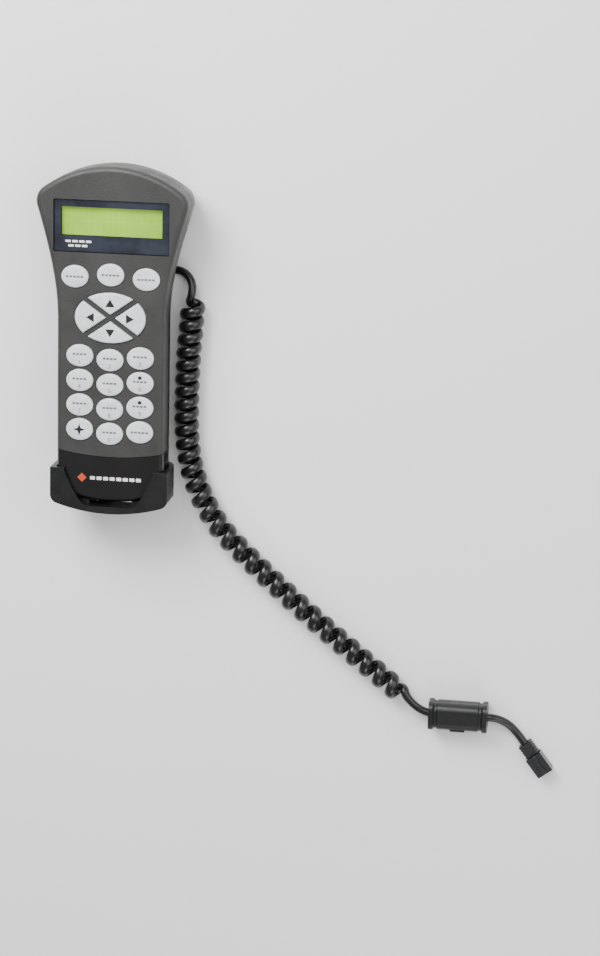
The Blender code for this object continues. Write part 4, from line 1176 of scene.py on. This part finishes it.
class MakeHolder(bpy.types.Operator):
    """Cup-shaped holder with its lips, cord slot and pads"""

    bl_idname = "controller.holder"
    bl_label = "Holder"

    gap: metres("Gap", 0.0004, "Between housing and holder")
    slot: metres("Slot", 0.012, "Half the width of the cord slot")
    slot_top: metres("Slot top", 0.025, "Height of the slot's roof at the rim")
    lip: metres("Lip", 0.008, "Width of a lip at the top edge")
    relief: metres("Relief", 0.002, "Open space below the housing")

    def execute(self, context):
        s = sizes_of()
        far = 0.01              # how far the cutting blocks reach past what they cut
        low_y, high_y, high_z = HOLDER_LOW.y, HOLDER_HIGH.y, HOLDER_HIGH.z
        block = self.plan_block("holder_shell", HOLDER_HIGH.x, low_y, 0.005, high_y, (0, high_z),
                                "black")
        boolean(block, self.section("outer", HOLDER_HIGH.x - s.half_body, low_y - far,
                                    high_y + far), "INTERSECT")
        pads = self.pads()
        pad_top = s.body_rear - self.gap - SPARE
        boolean(block, rods("pads", [((x, y, 0), (x, y, pad_top), 0.005) for x, y, _ in pads],
                            48), "UNION")
        pocket = self.plan_block("pocket", s.half_body + self.gap, END_Y - self.gap, 0.004,
                                 high_y + far, (0, FACE_Z + self.gap))
        boolean(pocket, self.section("inner", self.gap, low_y - far, high_y + 2 * far),
                "INTERSECT")
        boolean(block, pocket)
        boolean(block, prism("lips", self.lip_opening(), FACE_Z - 0.003, high_z + far))
        boolean(block, box("relief", (-self.slot, END_Y - self.relief, self.slot_top - SPARE),
                           (self.slot, END_Y + far, high_z + far)))
        boolean(block, box("slot", (-self.slot, low_y - far, -0.001),
                           (self.slot, high_y + far, self.slot_top)))
        seats = []
        for x, y, (low, high) in pads:
            head = (high.x - low.x) / 2 + SPARE
            seats.append(((x, y, high.z - HEAD_WELL), (x, y, high.z + 0.005), head))
            seats.append(((x, y, -0.001), (x, y, high.z), 0.0019))
        boolean(block, rods("wells", seats))
        round_edges(block, 0.0005)
        stand_for(block, "holder", HOLDER)
        return {"FINISHED"}

    def plan_block(self, name, half_width, low_y, corner, top_y, levels, finish=None):
        """Upright block with the bowed lower end of the housing's plan."""
        radius = END_Y + sizes_of().end_radius - low_y
        half = [(half_width, top_y)] + end_points(half_width, radius, corner, 12, 24)[:-1]
        points = half + [(0.0, low_y)] + [(-x, y) for x, y in reversed(half)]
        return prism(name, points, *levels, finish)

    def section(self, name, grow, low_y, high_y):
        """The lower body's section, grown all round and drawn out along y."""
        s = sizes_of()
        centre_x = s.half_body - s.rear_corner
        centre_z = REAR_HIGH.z - (REAR_HIGH.z - s.body_rear) * s.rear_straight
        half = [(s.half_body + grow, HOLDER_HIGH.z + 0.01)]
        half += [(centre_x + (s.rear_corner + grow) * cos,
                  centre_z - (centre_z - s.body_rear + grow) * sin) for cos, sin in quarter(20)]
        return along_y(name, half, low_y, high_y)

    def pads(self):
        """Middle and box of each holder screw."""
        boxes_of = [span(f"holder_screw_{i}") for i in (1, 2)]
        return [(*((low + high) / 2).xy, (low, high)) for low, high in boxes_of]

    def lip_opening(self):
        """Opening between the two lips, which widens towards the display end."""
        steps = 24
        wide = HOLDER_HIGH.x - self.lip
        low_y = END_Y - self.relief
        rise = (HOLDER_HIGH.y - low_y) * 0.92
        right = [(self.slot + (wide - self.slot) * (i / steps) ** 0.6, low_y + rise * i / steps)
                 for i in range(steps + 1)]
        right.append((wide, HOLDER_HIGH.y + 0.002))
        return right + [(-x, y) for x, y in reversed(right)]


class MakeBoot(bpy.types.Operator):
    """Ribbed rubber boot that tapers round the bend of the lead"""

    bl_idname = "controller.boot"
    bl_label = "Boot"

    ribs: whole("Ribs", 5, "Grooves round the boot")

    def execute(self, context):
        low, high = span("strain_relief")
        base = (high.x - low.x) / 2
        tip = base * 0.71
        x, z = (low.x + high.x) / 2, high.z - base
        bend_y, bend = LEAD_ROUTE[0][1], z - low.z
        route = [(x, high.y, z), (x, END_Y, z)]
        route += [(x, bend_y + bend * (1 - sin), low.z + bend * cos) for cos, sin in quarter(24)]
        points = smooth_path(route, 0.00022)
        first, last = 0.42, 0.97        # where the grooves begin and end, as shares of its length
        radii = []
        for i in range(len(points)):
            share = i / (len(points) - 1)
            wave = math.cos(2 * math.pi * (share - first) / 0.55 * self.ribs)
            groove = 0.00035 if first < share < last and wave < -0.15 else 0.0
            radii.append(base + (tip - base) * share - groove)
        stand_for(tube("boot", points, radii, 40, "boot"), "strain_relief", CONTROLLER)
        return {"FINISHED"}


class MakeChoke(bpy.types.Operator):
    """Two-part choke case with end ribs and a side latch"""

    bl_idname = "controller.choke"
    bl_label = "Choke"

    def execute(self, context):
        for name, facing in (("choke_case_lower", -1), ("choke_case_upper", 1)):
            self.case(name, facing)
        return {"FINISHED"}

    def case(self, name, facing):
        """Half of the case, with its hollow for the core and its bore for the cord."""
        low, high = span(name)
        joint = high.z if facing < 0 else low.z
        x, y, _ = (low + high) / 2
        half_x, half_y, depth = (high.x - low.x) / 2, (high.y - low.y) / 2, high.z - low.z
        rib, waist = 0.0009, 0.0004     # how far the grooves and the middle lie in
        steps = [(-1, 0.0), (-0.86, 0.0), (-0.80, rib), (-0.72, rib), (-0.70, waist)]
        steps += [(-share, inset) for share, inset in reversed(steps)]
        case = stacked(name + "_skin",
                       [[(x + half_x * share, y + across, joint + facing * z)
                         for across, z in self.arch(half_y - inset, depth - inset)]
                        for share, inset in steps], "black")
        core_low, core_high = span("choke_core")
        _, axis_y, axis_z = (core_low + core_high) / 2
        core = (core_high.y - core_low.y) / 2 + SPARE
        cord = bpy.context.scene.controller_cord.diameter / 2 + SPARE
        for title, start, end, radius, sides in (
                ("hollow", core_low.x - SPARE, core_high.x + SPARE, core, 48),
                ("bore", low.x - 0.001, high.x + 0.001, cord, 32)):
            boolean(case, rods(title, [((start, axis_y, axis_z), (end, axis_y, axis_z), radius)],
                               sides))
        if facing > 0:
            boolean(case, box("clip", (x - 0.0042, low.y - 0.00005, joint),
                              (x + 0.0042, low.y + 0.0012, joint + 0.0048)), "UNION")
        round_edges(case, 0.0003)
        stand_for(case, name, HOLDER)

    def arch(self, half, depth):
        """Section of the case: flat at the joint, with two round corners beyond it."""
        corner = 0.0046
        points = [(half, 0.0)] + [(half - corner + corner * cos, depth - corner + corner * sin)
                                  for cos, sin in quarter(12)]
        return points + [(-y, z) for y, z in reversed(points)]


class MakePlug(bpy.types.Operator):
    """Modular plug with its gold contacts, latch and ridged boot"""

    bl_idname = "controller.plug"
    bl_label = "Plug"

    contacts: whole("Contacts", 6, "Contacts in the plug")

    def execute(self, context):
        end, before = Vector(TAIL_ROUTE[-1]), Vector(TAIL_ROUTE[-2])
        along = end - before
        turn = Matrix.Rotation(math.atan2(along.y, along.x), 4, "Z")
        self.place = Matrix.Translation((end.x, end.y, 0)) @ turn
        self.boot()
        self.body()
        self.latch()
        return {"FINISHED"}

    def finish(self, piece, node, slot_name, edge):
        """Round a piece's edges, put it at the cord's end and give it its body."""
        round_edges(piece, edge, 3)
        piece.data.transform(self.place)
        if node:
            stand_for(piece, node, HOLDER)
        else:
            ride_on(piece, HOLDER)

    def boot(self):
        """Sleeve behind the plug, with grooves down both sides."""
        half, high, start, end = 0.00395, 0.0060, 0.0003, 0.0083
        first, pitch, wide, deep = start + 0.0012, 0.0016, 0.0007, 0.00045
        piece = box("plug_sleeve", (start, -half, 0), (end, half, high), "boot")
        for i in range(4):
            x = first + i * pitch
            for y in (-half, half):
                boolean(piece, box("groove", (x, y - deep, -0.001),
                                   (x + wide, y + deep, high + 0.001)))
        self.finish(piece, "plug_boot", "cord_rubber", 0.00022)

    def body(self):
        """Shell with a channel and a gold contact for each wire."""
        half, high, start, end = 0.00485, 0.0066, 0.0086, 0.0211
        pitch, half_channel, half_contact = 0.00102, 0.0003, 0.00016
        piece = box("plug_shell", (start, -half, 0), (end, half, high), "plug")
        contacts = []
        for i in range(self.contacts):
            y = (i - (self.contacts - 1) / 2) * pitch
            boolean(piece, box("channel", (end - 0.0058, y - half_channel, -0.0005),
                               (end + 0.001, y + half_channel, 0.0012)))
            contacts.append(((end - 0.0052, y - half_contact, 0.0003),
                             (end - 0.0004, y + half_contact, 0.0011)))
        self.finish(piece, "plug_body", "plug_plastic", 0.00025)
        self.finish(boxes("plug_contacts", contacts, "gold"), None, "plug_plastic", 0.00005)

    def latch(self):
        """Tongue over the plug, narrow between its root and its catch."""
        start, end, low, thick = 0.0086, 0.01985, 0.0069, 0.0011
        wide, narrow = -0.0016, -0.0010
        outline = [(start, wide), (start + 0.0040, wide), (start + 0.0048, narrow),
                   (end - 0.0022, narrow), (end - 0.0016, wide), (end, wide)]
        outline += [(x, -y) for x, y in reversed(outline)]
        self.finish(prism("plug_tongue", outline, low, low + thick, "plug"), "plug_latch",
                    "plug_plastic", 0.00018)


# ---- screws by geometry nodes -----------------------------------------------------------
THREAD_PITCH = 0.0009
SCREW_SIZES = (("Head Radius", 0.0024), ("Head Height", SCREW_HEAD), ("Shank Radius", 0.0012),
               ("Shank Length", 0.012), ("Thread Pitch", THREAD_PITCH), ("Drive Radius", 0.0009))


def node_of(tree, kind, inputs=None, **settings):
    """Add a node; an input given as a tuple of node and output name becomes a link."""
    node = tree.nodes.new(kind)
    for key, value in settings.items():
        setattr(node, key, value)
    for key, value in (inputs or {}).items():
        if isinstance(value, tuple) and isinstance(value[0], bpy.types.Node):
            tree.links.new(value[0].outputs[value[1]], node.inputs[key])
        else:
            node.inputs[key].default_value = value
    return node


def screw_tree():
    """Pan-head screws at the points of a mesh: head, drive recess and threaded shank."""
    tree = bpy.data.node_groups.new("screws", "GeometryNodeTree")
    face = tree.interface
    face.new_socket("Geometry", in_out="INPUT", socket_type="NodeSocketGeometry")
    for name, value in SCREW_SIZES:
        made = face.new_socket(name, in_out="INPUT", socket_type="NodeSocketFloat")
        made.default_value = value
    face.new_socket("Material", in_out="INPUT", socket_type="NodeSocketMaterial")
    face.new_socket("Geometry", in_out="OUTPUT", socket_type="NodeSocketGeometry")
    fill_screw_tree(tree)
    return tree


def fill_screw_tree(tree):
    """The nodes of the screws, from the group's inputs to its output."""
    given = node_of(tree, "NodeGroupInput")
    head_height, shank_length = (given, "Head Height"), (given, "Shank Length")

    def reckon(operation, first, second):
        return node_of(tree, "ShaderNodeMath", {0: first, 1: second}, operation=operation), 0

    def cylinder(vertices, radius, depth, middle_z):
        mesh = node_of(tree, "GeometryNodeMeshCylinder",
                       {"Vertices": vertices, "Radius": radius, "Depth": depth})
        up = node_of(tree, "ShaderNodeCombineXYZ", {"Z": middle_z})
        return node_of(tree, "GeometryNodeTransform",
                       {"Geometry": (mesh, "Mesh"), "Translation": (up, 0)}), 0

    head = cylinder(40, (given, "Head Radius"), head_height,
                    reckon("MULTIPLY", head_height, -0.5))
    drive = cylinder(6, (given, "Drive Radius"), reckon("MULTIPLY", head_height, 1.2),
                     reckon("MULTIPLY", head_height, -1.0))
    cut = node_of(tree, "GeometryNodeMeshBoolean", {0: head, 1: drive}, operation="DIFFERENCE")
    core_radius, helix_radius, ridge = (reckon("MULTIPLY", (given, "Shank Radius"), share)
                                        for share in (0.80, 0.88, 0.12))
    core = cylinder(24, core_radius, shank_length, reckon("MULTIPLY", shank_length, 0.5))
    turns = reckon("FLOOR", reckon("DIVIDE", shank_length, (given, "Thread Pitch")), 0.0)
    helix = node_of(tree, "GeometryNodeCurveSpiral",
                    {"Resolution": 20, "Rotations": turns, "Start Radius": helix_radius,
                     "End Radius": helix_radius, "Height": shank_length})
    profile = node_of(tree, "GeometryNodeCurvePrimitiveCircle", {"Resolution": 6, "Radius": ridge})
    thread = node_of(tree, "GeometryNodeCurveToMesh",
                     {"Curve": (helix, 0), "Profile Curve": (profile, 0), "Fill Caps": True})
    one = node_of(tree, "GeometryNodeJoinGeometry")
    for part in (cut, core[0], thread):
        tree.links.new(part.outputs[0], one.inputs[0])
    places = node_of(tree, "GeometryNodeInstanceOnPoints",
                     {"Points": (given, "Geometry"), "Instance": (one, 0)})
    solid = node_of(tree, "GeometryNodeRealizeInstances", {"Geometry": (places, 0)})
    painted = node_of(tree, "GeometryNodeSetMaterial",
                      {"Geometry": (solid, 0), "Material": (given, "Material")})
    node_of(tree, "NodeGroupOutput", {0: (painted, 0)})


class MakeScrews(bpy.types.Operator):
    """The housing's, boards' and holder's screws, from one geometry-nodes tree"""

    bl_idname = "controller.screws"
    bl_label = "Screws"

    def execute(self, context):
        tree = screw_tree()
        for name, nodes, body, turned, head_height in (
                ("housing_screws", [f"housing_screw_{i}" for i in range(1, 5)], CONTROLLER, False,
                 SCREW_HEAD),
                ("board_screws", [f"board_screw_{i}" for i in range(1, 4)], CONTROLLER, False,
                 SCREW_HEAD * 0.8),
                ("holder_screws", ["holder_screw_1", "holder_screw_2"], HOLDER, True, SCREW_HEAD)):
            self.group(tree, name, nodes, body, turned, head_height)
        return {"FINISHED"}

    def group(self, tree, name, nodes, body, turned, head_height):
        """One piece of like screws; turned ones have their heads up."""
        boxes = [span(node) for node in nodes]
        radius = (boxes[0][1].x - boxes[0][0].x) / 2
        length = min(high.z - low.z for low, high in boxes) - head_height
        sign = -1 if turned else 1
        points = []
        for low, high in boxes:
            seat = high.z - head_height if turned else low.z + head_height
            points.append(((low.x + high.x) / 2, sign * (low.y + high.y) / 2, sign * seat))
        data = bpy.data.meshes.new(name)
        data.from_pydata(points, [], [])
        made = link(name, data)
        change = made.modifiers.new("screws", "NODES")
        change.node_group = tree
        values = {"Head Radius": radius, "Head Height": head_height, "Shank Radius": radius / 2,
                  "Shank Length": length, "Thread Pitch": THREAD_PITCH,
                  "Drive Radius": radius * 0.38, "Material": finish_of("steel")}
        for item in tree.interface.items_tree:
            if item.in_out == "INPUT" and item.name in values:
                change[item.identifier] = values[item.name]
        if turned:
            made.matrix_world = Matrix.Rotation(math.pi, 4, "X")
        settle(made)
        smooth(made, 35)
        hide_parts(*nodes)
        ride_on(made, body)


# ---- add-on -----------------------------------------------------------------------------
STEPS = (MakeHousing, MakeKeys, MakeDisplay, MakeHolder, MakeBoot, MakeChoke, MakePlug, MakeScrews,
         MakeCord, MakeStage)
GROUPS = (("controller_sizes", ControllerSizes), ("controller_colours", ControllerColours),
          ("controller_cord", CordSizes), ("controller_stage", StageSizes))


class ControllerPanel(bpy.types.Panel):
    """Sizes, colours and steps of the hand controller"""

    bl_idname = "VIEW3D_PT_hand_controller"
    bl_label = "Hand Controller"
    bl_space_type = "VIEW_3D"
    bl_region_type = "UI"
    bl_category = "Controller"

    def draw(self, context):
        for pointer, group in GROUPS:
            column = self.layout.column(align=True)
            for field in group.__annotations__:
                column.prop(getattr(context.scene, pointer), field)
        column = self.layout.column(align=True)
        for step in STEPS:
            column.operator(step.bl_idname)


def register():
    for _, group in GROUPS:
        bpy.utils.register_class(group)
    for pointer, group in GROUPS:
        setattr(bpy.types.Scene, pointer, PointerProperty(type=group))
    for step in STEPS:
        bpy.utils.register_class(step)
    bpy.utils.register_class(ControllerPanel)


def unregister():
    bpy.utils.unregister_class(ControllerPanel)
    for step in reversed(STEPS):
        bpy.utils.unregister_class(step)
    for pointer, group in reversed(GROUPS):
        delattr(bpy.types.Scene, pointer)
        bpy.utils.unregister_class(group)


def main():
    register()
    bpy.ops.controller.housing()
    bpy.ops.controller.keys()
    bpy.ops.controller.display()
    bpy.ops.controller.holder()
    bpy.ops.controller.boot()
    bpy.ops.controller.choke()
    bpy.ops.controller.plug()
    bpy.ops.controller.screws()
    bpy.ops.controller.cord()
    bpy.ops.controller.stage()


if __name__ == "__main__":
    main()
